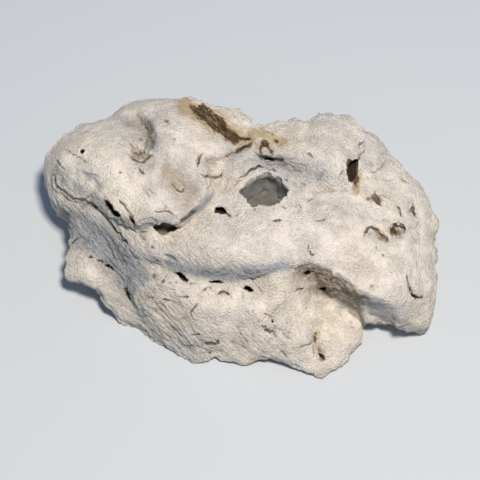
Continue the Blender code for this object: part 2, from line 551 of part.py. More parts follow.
def build():
    """Makes the rock."""
    for old in list(bpy.data.objects):
        bpy.data.objects.remove(old)
    upper_plate, lower_plate = thin_plate(UPPER_SPOTS), thin_plate(LOWER_SPOTS)

    def upper(across, up):
        return carve(upper_plate(across, up), across, up, UPPER_STROKES, UPPER_LEDGES)

    def lower(across, up):
        return carve(lower_plate(across, up), across, up, LOWER_STROKES, LOWER_LEDGES)

    rock = join("rock", [
        lump("left", LEFT_MIDDLE, LEFT_EDGE, upper, LEFT_UNDER),
        lump("wing", WING_MIDDLE, WING_EDGE, upper, WING_UNDER),
        lump("apron", APRON_MIDDLE, APRON_EDGE, lower, APRON_UNDER),
        lump("foot", FOOT_MIDDLE, FOOT_EDGE, lower, FOOT_UNDER),
    ])
    remesh(rock)
    keep_outer_skin(rock)
    soften(rock, ROUNDS_BEFORE_CUTTING)
    weather(rock)
    cut(rock, [pocket(mouth, upper, depth, into, belly) for mouth, depth, into, belly in UPPER_POCKETS]
        + [pocket(mouth, lower, depth, into, belly) for mouth, depth, into, belly in LOWER_POCKETS])
    remesh(rock)
    keep_outer_skin(rock)
    soften(rock, ROUNDS_AFTER_CUTTING)
    thin_out(rock, MOST_TRIANGLES)
    stand(rock)
    centre(rock)
    rock.data.materials.clear()
    rock.data.materials.append(limestone())
    rock.data.shade_smooth()
    return rock


build()
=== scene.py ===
"""Dresses the holey rock: its carved and weathered skin, its stone, and a plain stage around it.

Places on the rock are set out on a leaning plane: "across" runs to the right, "up" runs up the plane's
slope, and both start at the plane's middle. A third number is a height above the floor. Sizes in the
tables are in millimetres.
"""

import functools
import math

import bmesh
import bpy
import numpy as np
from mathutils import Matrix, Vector, noise


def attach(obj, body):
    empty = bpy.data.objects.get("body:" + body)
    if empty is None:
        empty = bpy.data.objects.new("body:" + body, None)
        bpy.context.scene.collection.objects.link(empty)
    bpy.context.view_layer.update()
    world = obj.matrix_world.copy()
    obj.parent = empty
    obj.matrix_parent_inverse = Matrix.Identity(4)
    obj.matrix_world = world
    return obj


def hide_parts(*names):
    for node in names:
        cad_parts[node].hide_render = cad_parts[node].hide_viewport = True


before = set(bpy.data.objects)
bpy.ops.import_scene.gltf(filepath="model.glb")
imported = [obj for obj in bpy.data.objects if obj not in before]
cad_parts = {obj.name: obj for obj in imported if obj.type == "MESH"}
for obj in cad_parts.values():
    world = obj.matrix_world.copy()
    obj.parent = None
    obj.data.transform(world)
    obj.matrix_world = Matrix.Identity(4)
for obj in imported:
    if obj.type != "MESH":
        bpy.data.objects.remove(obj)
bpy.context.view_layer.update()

bl_info = {
    "name": "Holey rock",
    "version": (1, 0, 0),
    "blender": (4, 5, 0),
    "location": "View3D > Sidebar > Holey rock",
    "description": "Makes a weathered, bored lump of limestone and a plain stage for it",
    "category": "Add Mesh",
}

METRE = 0.001

# The leaning plane on which the face is set out.
PLANE_LEAN = math.radians(58.0)  # how far the plane's normal stands above level
PLANE_MIDDLE = np.array([0.3, -7.0, 25.0])
SIGHT_LINE = 1000.0  # places are set out along lines that meet this far out on the plane's normal

ACROSS = np.array([1.0, 0.0, 0.0])
UP = np.array([0.0, math.sin(PLANE_LEAN), math.cos(PLANE_LEAN)])
OUT = np.array([0.0, -math.cos(PLANE_LEAN), math.sin(PLANE_LEAN)])
VIEWPOINT = PLANE_MIDDLE + SIGHT_LINE * OUT

STEEPEST = 1.85  # height gained per unit of up on a wall that stands almost upright
NARROWEST_WALL = 0.3  # a ledge's wall is at least this wide in the layout
LEDGE_FADE = 2.0  # a ledge dies away over this length beyond its ends

# How each lump is closed below: (height of its underside, squareness of its flanks).
LEFT_UNDER = (-0.8, 3.0)
WING_UNDER = (-0.5, 2.6)
APRON_UNDER = (-0.8, 3.0)
FOOT_UNDER = (9.0, 2.4)
CORE_RISE = 10.0  # a lump's flanks close in on a point this far above its underside
LUMP_FINENESS = 7  # subdivisions of the ball that a lump starts as

# Rings of a pocket, from its mouth to its end: (share of the depth, size, share of the belly).
POCKET_RINGS = (
    (-0.25, 1.0, 0.0), (0.0, 1.0, 0.0), (0.3, 1.0, 1.0),
    (0.6, 1.0, 0.8), (0.85, 0.75, 0.0), (1.0, 0.35, 0.0),
)
EDGE_POINTS_PER_SPAN, MOUTH_POINTS_PER_SPAN = 10, 4  # of the curves through the tables' points
POCKET_RAGGED, POCKET_RAGGED_WAVE = 0.14, 2.6  # how uneven a pocket's walls are

COARSE_GRAIN = 0.6  # grain of the mesh that the pockets are cut from
COARSE_ROUNDS = 1

HIDDEN_STARTS, HIDDEN_ENDS = -0.05, -0.45  # how far a surface turns from the viewer before it swells freely
PLANE_TOLERANCE = 1e-6  # metres
SLIVER = 2e-5  # metres; shorter edges along the flat underside are closed up
DECIMALS = 4  # places are kept to this many decimals of a millimetre


# Height of the upper mass's top surface: (across, up, height).
UPPER_SPOTS = (
    (-77, 27, 34), (-74, 17, 30), (-68, 37, 39), (-68, 28, 39), (-68, 12, 29), (-59, 43, 41),
    (-60, 33, 43), (-61, 20, 38), (-58, 13, 35), (-61, 4, 25), (-53, 46, 42), (-50, 30, 46),
    (-50, 18, 42), (-50, 5, 33), (-52, -4, 23), (-48, -10, 19), (-43, -22, 15), (-44, 51, 41),
    (-42, 26, 46), (-41, 14, 42), (-42, 2, 36), (-41, -6, 30), (-37, -12, 26), (-32, 54, 42),
    (-26, 46, 48), (-26, 34, 48), (-26, 24, 46), (-26, 12, 44), (-28, 1, 39), (-27, -5, 36),
    (-25, -12, 28), (-18, 52, 43), (-16, 44, 46), (-14, 30, 44), (-9, 23, 40), (-10, 10, 40),
    (-10, 0, 41), (-10, -6, 39), (-10, -11.5, 35), (-10, -17, 25), (-4, 48, 38), (2, 43, 38),
    (-2, 32, 43), (-4, 18, 40), (8, 40, 40), (10, 33, 43), (11, 10, 41), (11, 0, 41),
    (4, -7, 39), (3, -12.5, 35), (3, -18, 25), (14, -10, 36), (20, 45, 38), (20, 36, 42),
    (24, 28, 42), (22, 19, 39), (22, 8, 41), (28, -6, 37), (30, 47, 40), (33, 38, 45),
    (35, 29, 44), (33, 19, 38), (40, 10, 40), (44, -4, 38), (38, -11, 34), (44, 42, 39),
    (43, 26, 41), (49, 30, 37), (55, 36, 34), (50, 20, 36), (57, 26, 33), (64, 22, 31),
    (58, 6, 34), (57, -8, 33), (48, -17, 31), (68, 10, 31), (66, -4, 31), (76, 12, 25),
    (75, -2, 24), (70, -14, 27), (76, -18, 20), (57, -20, 29), (65, -24, 25), (74, -30, 13),
    (66, -29, 19), (72, -34, 10), (48, -22, 30), (55, -26, 27), (50, -31, 25), (60, -31, 22),
    (66, -35, 15), (71, -36, 10),
)
# Height of the lower shelf's top surface, with the cave's back wall and floor.
LOWER_SPOTS = (
    (-69, -4, 17), (-68, -13, 16), (-60, -4, 20), (-60, -14, 18), (-54, -9, 17), (-54, -18, 15),
    (-50, -17, 16), (-49, -26, 11), (-46, -24, 14), (-44, -31, 6), (-40, -18, 22), (-37, -26, 19),
    (-36, -34, 8), (-30, -16, 26), (-28, -26, 21), (-26, -36, 13), (-24, -43, 5), (-18, -19, 26),
    (-16, -28, 23), (-15, -38, 15), (-16, -47, 4), (-6, -20, 26), (-6, -30, 22), (-6, -40, 12),
    (-4, -46, 6), (5, -21, 26), (6, -30, 23), (5, -38, 16), (4, -47, 5), (14, -16, 31),
    (15, -25, 25), (16, -34, 18), (15, -44, 10), (19, -13, 33), (20, -21, 25), (22, -30, 17),
    (24, -38, 13), (24, -47, 8), (26, -12, 30), (25, -17, 23), (27, -22, 17), (33, -13, 28),
    (31, -19, 15), (38, -16, 26), (37, -23, 12), (34, -28, 11), (45, -21, 22), (44, -27, 10),
    (50, -25, 18), (49, -29, 8), (42, -33, 8), (34, -36, 10), (32, -45, 8), (32, -53, 3),
    (40, -42, 7), (46, -38, 6), (41, -49, 3), (48, -36, 5), (44, -12, 22), (54, -22, 14), (36, -8, 26),
    (24, -4, 30), (0, -4, 28), (-20, -4, 26), (-38, -6, 24), (-48, -2, 20), (-60, 4, 18),
)

# Strokes that carve the two top surfaces: (path, rise, reach). Negative rise digs.
UPPER_STROKES = (
    (((-45, 47), (-41, 44), (-39, 39)), -3.4, 5.0),  # hollow on the head
    (((-37, 37), (-40, 33)), -1.2, 3.5),
    (((-31, 44), (-30, 37), (-32, 29), (-35, 22)), 1.2, 3.0),  # ridge beside the hollow
    (((-24, 25), (-21, 20)), -2.2, 6.0),  # shallow bowl
    (((-60, 23.5), (-59, 22.5)), -0.9, 2.6),  # thumb dent
    (((-67, 22), (-72, 24)), -0.7, 3.0),
    (((-55, 37), (-50, 38)), 0.8, 5.0),
    (((-16, 51), (-11, 48), (-6, 44), (-2, 41)), -2.6, 2.6),  # stained groove behind the head
    (((-3, 36.5), (-6, 33)), -1.4, 2.2),
    (((-8, 24), (-3, 22)), -1.2, 4.0),
    (((3, 29), (9, 31)), 0.9, 2.4),  # brow over the eye
    (((9, 32.7), (15.5, 31.8)), -1.6, 1.3),
    (((11, 37.5), (12.5, 35.5)), -0.9, 1.6),
    (((24, 46), (27, 42)), -1.0, 2.5),
    (((21, 19.6), (32, 19), (43, 19.6)), -0.8, 1.8),  # valley right of the eye
    (((47, 34), (49, 38)), -1.0, 1.6),
    (((46.6, 22.5), (45.9, 19.2)), -1.8, 1.4),  # the slot's shallow tail
    (((53, 30), (58.5, 31)), -0.8, 2.0),
    (((62.5, 4), (63, 3.6)), -2.2, 2.1),  # largest pit of the wing
    (((52, 3.2), (54.5, 3.4)), -1.3, 1.5),
    (((56.5, 2), (58.5, 0)), -1.2, 1.1),
    (((54, 17), (55.5, 15.5)), -1.3, 1.2),
    (((63.4, 12.6), (64.2, 10.4)), -1.2, 1.0),
    (((68.8, 11.2), (69.4, 11.8)), -1.3, 1.2),
    (((55, 0), (58, 9), (53, 15)), -0.8, 6.0),  # shallow hollow that holds the pits
    (((67.5, -18), (69, -21.5), (72, -22.8)), -1.6, 1.2),  # curved slot at the corner
    (((71, -17), (72, -19)), -0.6, 2.4),
    (((30, 2), (38, 6)), 0.6, 7.0),
    (((-35, -9), (-30, -10)), -1.4, 1.8),
    (((-62, 4), (-55, -2), (-48, -9)), -1.0, 4.0),  # flank above the foot
    (((-55, 5), (-49, -2), (-44, -9)), 0.8, 2.4),
    (((77, -10), (73, -9)), -0.8, 2.0),
    (((76, 0.5), (72, 1)), -0.7, 2.0),
)
LOWER_STROKES = (
    (((-52, -10.5), (-49, -14), (-46, -20), (-43, -25)), -2.2, 2.4),  # groove beside the foot
    (((-62, -9), (-58, -13)), 0.8, 4.0),
    (((-42, -22), (-36, -30), (-30, -38)), 0.8, 1.8),  # flutes on the apron's left
    (((-38, -21), (-32, -29), (-25, -38)), -0.8, 1.6),
    (((-33, -21), (-27, -30), (-20, -40)), 0.7, 1.6),
    (((-28, -22), (-22, -31), (-15, -42)), -0.7, 1.5),
    (((-12, -45), (-8, -45)), -2.4, 2.2),  # recess at the bottom edge
    (((-14, -41), (-10, -41.5)), -1.0, 1.2),
    (((10, -36.5), (14, -38)), -1.3, 1.8),
    (((12, -31.3), (12.8, -32.2)), -2.0, 1.1),
    (((15, -35), (19, -38.5)), -0.9, 1.1),
    (((-6, -21), (-5, -22.5)), -0.9, 1.6),
    (((0, -34), (0.5, -38)), -0.6, 1.6),
    (((-16, -28), (-4, -27), (6, -27)), 0.8, 4.5),
    (((31, -40), (33, -48)), -1.8, 1.8),
    (((33, -50), (32.5, -53)), 0.8, 1.6),
    (((28, -34), (23, -41)), 0.9, 2.6),
    (((38, -30), (33, -33)), -1.0, 5.0),  # bowl of the cave's floor
    (((24, -20.5), (29, -20)), -0.7, 1.2),
    (((26, -13.5), (31, -15), (37, -18)), -1.6, 2.0),
    (((34, -19.2), (33, -19.5)), -1.8, 1.2),
)

# Ledges: (path, drop, lip, back, recover). The surface stands by lip above itself on the left-hand
# side of the path, dies away over back, and lies by drop below on the right, dying away over recover.
UPPER_LEDGES = (
    (((-39, 51), (-36.5, 47.5), (-34.6, 45), (-33.7, 41.5), (-34.3, 38), (-35.5, 35)), 4.2, 1.2, 4, 6),
    (((-75, 26), (-74, 22.5), (-72, 20), (-69.5, 18.8), (-66.5, 16.3), (-63, 16.2), (-60, 15),
      (-57, 13.8), (-54.5, 11), (-51.5, 7.5), (-48, 3.5), (-45, 0)), 2.0, 0.5, 3, 3),
    (((-64, 27.6), (-60, 26.3), (-57.3, 25), (-56, 21.5)), 0.9, 0.3, 3, 3),
    (((-57, 18), (-53, 14.8), (-48, 10), (-44, 8.2), (-41, 7), (-38, 8), (-35, 9.2), (-31, 8),
      (-27, 7), (-24, 7.8), (-21, 10.5), (-17, 14.6), (-14, 18), (-13.5, 22), (-15, 26), (-15.5, 30)),
     5.0, 1.4, 5, 8),
    (((3, 39.3), (-1, 38.6), (-4, 39.5), (-9, 42.5), (-14, 46), (-18, 49.5), (-22, 54)), 3.2, 0.6, 5, 5),
    (((-1, 24.5), (1.5, 25.7), (4, 27.3), (6.5, 29.6), (9, 30.2)), 0.9, 0.4, 3, 3),
    (((7.5, 33.7), (9.5, 32.8), (12.5, 31.9), (17, 31.7), (22, 30.4)), 1.8, 0.5, 4, 5),
    (((-5.5, 34), (-2, 37.5), (1, 37.6), (4, 38.6)), 1.2, 0.4, 2, 3),
    (((46.5, 33), (44.3, 30), (43.7, 27), (44.4, 24), (44.8, 20)), 0.4, 0.8, 4, 4),
    (((-42, -5), (-38, -7.6), (-33, -9), (-28, -11.5)), 1.4, 0.4, 3, 5),
    (((-62, 10), (-56, 5), (-50, -1), (-44, -7)), 0.8, 0.2, 3, 3),
    (((41, -15), (45, -18.5), (50, -20.5), (55, -23), (60, -25), (62.5, -27.5), (64.5, -32), (70, -33.5),
      (75, -35)), 13, 0.6, 4, 60),
)
LOWER_LEDGES = (
    (((21, -16), (19.4, -20), (19, -24), (16, -26.5), (13.5, -29)), -0.8, -0.2, 3, 3),
    (((-30, -16.6), (-24, -17), (-18, -17.2)), -0.8, 0.0, 2, 3),
)

# Edges of the lumps: (across, up, edge radius), clockwise.
LEFT_MIDDLE = (-36.0, 16.0)
LEFT_EDGE = (
    (-78.4, 26.4, 12), (-77.2, 31.2, 12), (-75.2, 34.4, 11), (-71.2, 40, 10), (-63.2, 45.2, 8),
    (-52.8, 49.2, 8), (-44.8, 53.6, 7), (-36, 56, 7), (-20.8, 56.8, 5), (-17.6, 56, 4),
    (-11.2, 52.8, 3), (-1.6, 51.2, 3), (4, 47.6, 3), (5.6, 45.2, 3), (20, 40, 3), (30, 26, 3),
    (28, 4, 3), (24, -8, 3), (20.8, -11.2, 2), (14, -12.4, 2), (7.2, -14.8, 2.5), (0, -16.4, 3),
    (-10, -16.8, 3), (-21.6, -16.4, 3), (-28, -13.2, 3), (-35.2, -14, 4), (-39.2, -19.2, 3),
    (-42, -25.2, 2), (-43.6, -23.2, 2), (-46, -18, 2), (-48.8, -12.8, 2), (-52.8, -9.2, 2),
    (-58, -6.8, 2), (-63.2, -2.4, 3), (-67.2, 3.2, 4), (-68.4, 10.4, 6), (-74, 14.8, 9),
    (-77.2, 21.2, 12),
)
WING_MIDDLE = (48.0, 14.0)
WING_EDGE = (
    (5.6, 45.2, 3), (10.4, 45.6, 3), (16, 46.8, 4), (21.6, 48.4, 4), (26.8, 46.8, 4), (32.8, 49.6, 4),
    (42.4, 49.2, 4), (48.8, 44.8, 4), (54.8, 40.8, 4), (59.2, 34, 3), (64.8, 28.8, 3), (68.4, 26, 3),
    (72.4, 21.2, 3), (76.4, 14.4, 3), (79.2, 7.6, 3), (77.2, 0.8, 3), (78.8, -4.8, 3),
    (77.6, -9.6, 3), (78.4, -16, 2.5), (76.8, -26, 2), (74.4, -35.8, 1), (70, -36, 1),
    (65.4, -35.2, 1), (63, -33.6, 1), (60, -32.2, 1), (54, -31.8, 1), (51.4, -32.4, 1), (49.8, -29, 1),
    (49.2, -24, 1), (47.2, -20, 1.5), (42.4, -16.4, 1.5), (38.4, -15.6, 1.5), (35.2, -12.4, 1.5),
    (30.4, -10, 1.5), (25.6, -9.6, 1.5), (20.8, -11.2, 1.5), (4, -6, 2), (-2, 12, 2), (0, 34, 2),
)
APRON_MIDDLE = (0.0, -24.0)
APRON_EDGE = (
    (48.8, -34.4, 2), (48.4, -40.4, 2), (44, -46.8, 2), (39.6, -50.8, 2), (33.6, -54.4, 1.5),
    (32, -54.8, 1.5), (27.2, -52.4, 1.5), (18.8, -48.8, 1.5), (8.8, -46.4, 1.5), (2, -49.6, 1.5),
    (-4.8, -47.6, 1.5), (-12, -46.8, 1.5), (-16.8, -49.2, 1.5), (-23.6, -46, 1.5), (-32.8, -40, 1.5),
    (-42.4, -33.6, 1.5), (-48.4, -31.2, 1.5), (-50, -22, 2), (-46, -10, 2), (-36, -4, 2), (-16, 0, 2),
    (24, -2, 2), (44, -12, 2), (54, -24, 2), (51, -31.5, 2),
)
FOOT_MIDDLE = (-58.0, -10.0)
FOOT_EDGE = (
    (-68.4, 7.2, 2), (-68, 1.6, 2), (-67.6, -2, 2), (-68.8, -5.6, 2.5), (-69.6, -9.6, 3),
    (-70, -12.8, 3), (-68, -15.2, 3), (-60.8, -17.2, 2.5), (-54.8, -21.6, 2.5), (-53.6, -24.8, 2),
    (-50.8, -27.6, 2), (-47.2, -32, 2), (-42, -33, 2), (-40, -24, 2), (-46, -12, 2), (-54, 0, 2),
    (-62, 7.2, 2),
)

# Pockets cut into the rock: (mouth, depth, direction, belly).
DOWN = (0.0, 0.0, -1.0)
INWARD = tuple(-OUT)
EYE_POCKET = (
    ((-0.6, 19.8), (1.5, 22.6), (6.5, 25.8), (11, 27.2), (15, 25.8), (17.6, 23), (20.8, 19.7),
     (17.6, 17.6), (15.2, 14.4), (10, 14), (5, 13.9), (1.8, 16.8)), 24, DOWN, 0.04,
)
UPPER_BORES = (
    (((46.4, 32), (44, 30.8), (43, 27.5), (43.6, 24), (45.2, 23), (47.4, 24.4), (47.4, 28), (47.4, 31)),
     9, (-0.3, 0.48, -0.82), 0.15),
    (((-35, 5.6), (-32, 7), (-27.5, 6.8), (-24, 5.6), (-26, 3.2), (-29, 2.3), (-33, 2)), 5.4, INWARD, 0.1),
    (((-54, 16), (-52.2, 15.2), (-49.4, 12.8), (-47.6, 10.6), (-48, 8.8), (-50.6, 9.8), (-53, 13)),
     6, INWARD, 0.1),
    (((-44.6, 9.8), (-43.2, 9.6), (-41.3, 7.4), (-42, 6.4), (-43.8, 7.4)), 6, INWARD, 0.1),
    (((-10.8, 11), (-9.6, 13.6), (-7.4, 14), (-5, 11.6), (-5.4, 10.2), (-8, 9.8)), 7, INWARD, 0.1),
    (((-64.4, 35.3), (-63.1, 36.6), (-61.8, 35.4), (-63.1, 34)), 6, INWARD, 0.0),
    (((67.2, -19), (68.6, -21), (70.6, -22), (73.4, -22.8), (70.6, -23.8), (67.8, -22.4)), 6, INWARD, 0.0),
    (((7.6, 34.2), (10, 33.4), (16, 32.6), (16.4, 31.6), (11, 31.2), (8.4, 32.6)), 6, INWARD, 0.0),
)
WING_PIT = (
    ((60.6, 5), (62, 6.2), (64.4, 5.8), (65.8, 4), (64.8, 2.2), (62.8, 1.6), (61, 2.8)), 2.2, INWARD, 0.0,
)
LOWER_BORES = (
    (((-27.2, -13), (-24.4, -12), (-22, -13.8), (-20.8, -16.4), (-24, -15.8)), 6, INWARD, 0.1),
    (((-12.8, -16.8), (-9, -14.8), (-6, -16.6), (-9, -18)), 6, INWARD, 0.1),
    (((0.6, -19.6), (2.8, -18), (5.8, -20.2), (2.8, -21)), 6, INWARD, 0.1),
    (((-54, -9.8), (-51.8, -9.6), (-49.4, -12), (-50.4, -13), (-52.6, -11.4)), 6, INWARD, 0.1),
    (((-46.2, -18.8), (-45, -19.2), (-43.2, -23.6), (-44.2, -24)), 5, INWARD, 0.1),
    (((10.9, -30.5), (12.4, -30.3), (13.9, -32.4), (12.8, -33.3)), 6, INWARD, 0.0),
    (((31.6, -19.6), (33.4, -18), (35.6, -18.6), (34.4, -20.2)), 6, INWARD, 0.1),
    (((30.8, -45), (32.6, -45.2), (34, -47.5), (33, -49.2), (31, -47)), 4, INWARD, 0.1),
    (((-12.8, -44.6), (-11.4, -44.6), (-11.4, -46), (-12.8, -46)), 4, INWARD, 0.0),
    (((24.6, -12.6), (27, -12), (27.4, -13.6), (25, -14)), 4, INWARD, 0.0),
    (((29, -10.8), (31.2, -10.8), (31.2, -12.2), (29, -12)), 4, INWARD, 0.0),
)

# Swells of the surface: (wave length, height on the face, height on the back and underside).
SWELLS = ((30.0, 0.0, 3.2), (13.0, 0.7, 2.4), (5.5, 0.45, 0.9))
# Hollows on the back and the underside: (place, radius, depth).
BACK_DENTS = (
    ((-50, 31, 24), 9, 3.5), ((-22, 45, 22), 8, 4), ((12, 37, 18), 11, 5), ((40, 41, 24), 7, 3),
    ((66, 19, 16), 8, 3), ((-64, 9, 12), 8, 3), ((20, 3, 3), 12, 3), ((-20, 13, 0), 9, 3),
)

# Cracks in the face: (path, depth, half width, how brown).
UPPER_CRACKS = (
    (((7.6, 34), (10, 33), (13, 32.3), (16.4, 31.9)), 1.6, 0.7, 0.0),
    (((-23.2, 7.4), (-20.6, 9.2), (-18.4, 11.2)), 1.4, 0.6, 0.0),
    (((-44, 33.2), (-42, 32), (-40.4, 31), (-38.2, 31.2)), 0.9, 0.4, 0.8),
    (((-42.6, 35), (-40.4, 34), (-38.4, 35)), 0.8, 0.35, 0.8),
    (((-70, 36.2), (-68.5, 35.4), (-66.5, 34), (-65, 33.3), (-62, 31.6)), 0.7, 0.3, 0.1),
    (((-73.3, 32), (-72.3, 30.2), (-70.8, 28)), 0.8, 0.35, 0.0),
    (((-75.3, 30), (-75, 28), (-73.5, 26.5)), 0.4, 0.3, 0.0),
    (((-74.6, 26), (-74, 22.6), (-72, 20), (-69.5, 18.8), (-67, 16.4), (-63.5, 16.3), (-61.5, 15.6),
      (-58, 13.8), (-55.5, 11), (-53, 8), (-50, 4), (-47.5, 1.5), (-45, -1)), 1.3, 0.48, 0.0),
    (((-63.5, 27.8), (-61.5, 27), (-59, 26.3), (-57, 25.3)), 0.5, 0.6, 0.0),
    (((-48, 15.4), (-46.2, 13.6), (-45, 11.4), (-43, 9.3)), 1.0, 0.4, 0.1),
    (((-34, 11.3), (-32, 11), (-30.2, 11.5), (-28.2, 11), (-26.8, 10.2)), 0.7, 0.3, 0.7),
    (((-31.2, 15.5), (-29, 12.5)), 0.4, 0.3, 0.3),
    (((-40.5, 7.5), (-38, 8.3), (-36, 9.3), (-34, 8), (-33.5, 7)), 0.7, 0.35, 0.0),
    (((-26.8, 22), (-25.5, 20.2), (-24, 19.2), (-23, 19), (-22.6, 20)), 0.8, 0.35, 0.9),
    (((-47.5, 42), (-46, 40.7)), 0.4, 0.3, 0.1),
    (((-43.5, 38.3), (-42.5, 37)), 0.8, 0.35, 0.9),
    (((-39.8, 31), (-38, 31.3), (-36.5, 33), (-35.3, 33.7)), 0.8, 0.4, 0.9),
    (((-37.5, 18.5), (-36.8, 17.3)), 0.6, 0.3, 0.7),
    (((-36.5, 20.2), (-35, 18.8)), 0.5, 0.3, 0.5),
    (((-40.2, 27.9), (-38.9, 27)), 1.6, 0.5, 0.4),
    (((-16.7, 30.4), (-16.4, 31.8), (-15.6, 33.4)), 1.2, 0.5, 0.7),
    (((-15, 26), (-13, 25.3), (-10.5, 24.7), (-8, 25.4), (-7.5, 26.3)), 0.8, 0.45, 0.7),
    (((-5.5, 33.6), (-4, 34.2), (-2.8, 35)), 0.8, 0.4, 0.8),
    (((-1, 35.2), (0, 36.2), (1, 36.8), (2, 37.4), (3.4, 37.6), (4, 38.4)), 2.0, 0.62, 0.9),
    (((0.6, 25.2), (2.5, 26), (4, 27.2), (6, 29), (7.5, 29.8), (8.6, 29.2)), 1.2, 0.4, 0.5),
    (((-1.8, 22), (-0.5, 23.3)), 0.4, 0.3, 0.6),
    (((11, 28.6), (12.5, 28.2), (13.6, 28.2), (13.9, 27.4)), 0.8, 0.35, 0.6),
    (((18.2, 24), (19.3, 23.4)), 0.5, 0.35, 0.8),
    (((15.5, 33.8), (18, 32.9), (21.6, 32.8)), 0.6, 0.4, 0.0),
    (((16.6, 29.2), (20, 27.8), (23.6, 27.4)), 0.55, 0.4, 0.0),
    (((18.4, 31.8), (22.4, 30), (26, 29.4)), 0.55, 0.4, 0.0),
    (((11, 30.2), (14, 30.2), (18.5, 30)), 0.8, 0.35, 0.0),
    (((15, 31), (20, 30), (22, 28.5)), 0.6, 0.35, 0.0),
    (((20.5, 31.2), (22, 30.5), (24.4, 30.1)), 0.7, 0.35, 0.2),
    (((8, 35), (8.6, 37.5), (9.8, 38.7), (10.6, 38), (11.6, 36.5), (12.7, 35)), 1.0, 0.5, 1.0),
    (((27.6, 34.5), (28.6, 33.6)), 1.6, 0.45, 0.3),
    (((24.8, 22.2), (26.4, 22)), 0.5, 0.35, 0.5),
    (((27.6, 15.8), (28.4, 16.3)), 0.7, 0.4, 0.6),
    (((17.2, 13.2), (17.8, 12.6)), 0.7, 0.35, 0.7),
    (((14.1, 7.8), (15.8, 8)), 1.2, 0.4, 0.6),
    (((31, 7.8), (32.2, 7.8), (33.2, 8.2)), 1.2, 0.4, 0.6),
    (((-5.4, 10.8), (-4, 9.6)), 0.9, 0.35, 0.6),
    (((21, 19.2), (24, 19.8), (28, 19.4), (30, 18.7), (33, 18.8), (36, 19.2)), 0.25, 0.3, 0.1),
    (((37, 19.8), (40, 19.7), (43, 19.9)), 0.35, 0.35, 0.1),
    (((40.2, 26.3), (41, 27.5)), 0.7, 0.35, 0.3),
    (((31.5, 24.3), (32.5, 24.8), (34, 27)), 0.4, 0.3, 0.0),
    (((47, 32), (48, 34), (49.3, 35.2)), 0.9, 0.5, 0.0),
    (((48.2, 38.2), (49, 39)), 1.0, 0.4, 0.0),
    (((55, 28), (57, 29.5), (58.5, 31.5)), 0.6, 0.35, 0.0),
    (((51.2, 25), (52, 24), (53.5, 24.8), (55, 24.8)), 0.5, 0.3, 0.2),
    (((53.2, 27.2), (54.2, 27.4)), 0.7, 0.35, 0.4),
    (((58, 24.5), (59, 23.8), (60, 23.6), (62, 24.6)), 0.4, 0.3, 0.5),
    (((64.8, 24.5), (65.5, 23.5), (66.5, 23.2)), 0.4, 0.4, 0.5),
    (((71.4, 6.2), (70.6, 5.2), (71, 3.2), (71.8, 2)), 0.5, 0.3, 0.1),
    (((57.2, 17.8), (58.2, 17.2)), 0.6, 0.45, 0.8),
    (((50.4, 3), (51.3, 4.4), (53, 5.1), (55, 4.1)), 1.3, 0.55, 1.0),
    (((56, 2.5), (57.6, 1.9), (58.8, 0.2)), 1.1, 0.45, 1.0),
    (((61, 2.6), (60.9, 4.4), (62.2, 6)), 1.2, 0.75, 1.0),
    (((64.4, 6.3), (65.8, 5.4), (66, 4.6)), 1.0, 0.45, 1.0),
    (((54.2, 17.8), (54.5, 16), (55.7, 14.6)), 1.3, 0.6, 1.0),
    (((69.1, 13), (69, 11.4), (69.8, 10.2)), 1.4, 0.6, 1.0),
    (((22, 13.6), (23.6, 14.2), (24.6, 12.8), (23.6, 11.4)), 0.5, 0.4, 0.8),
    (((54, 16.9), (51.4, 16.4)), 0.4, 0.35, 0.7),
    (((63.2, 12.8), (63.6, 12), (64, 10.8), (64.3, 10)), 0.9, 0.4, 0.9),
    (((27.3, -2.6), (27.2, -3.6)), 0.7, 0.35, 0.8),
    (((28.2, -4.4), (28.6, -5.6), (29.5, -6)), 0.5, 0.35, 0.8),
    (((66.8, -14.5), (67.2, -17), (67.6, -18.5), (68.2, -20.5)), 0.7, 0.45, 0.9),
    (((68.2, -20.5), (69, -21.8), (70.5, -22.9), (72.5, -23.2)), 1.6, 0.5, 0.7),
    (((-66.8, -1.2), (-66, -0.2), (-65.2, 0.4)), 1.2, 0.4, 0.2),
    (((-41.8, 3), (-40, 3), (-38, 3.5)), 0.8, 0.35, 0.1),
    (((-44.2, 5.2), (-43, 4), (-41, 3), (-40, 1.5), (-38.5, 0.5)), 0.7, 0.35, 0.1),
    (((-29.2, -5.8), (-27.8, -6.5), (-26, -8)), 1.2, 0.45, 0.1),
)
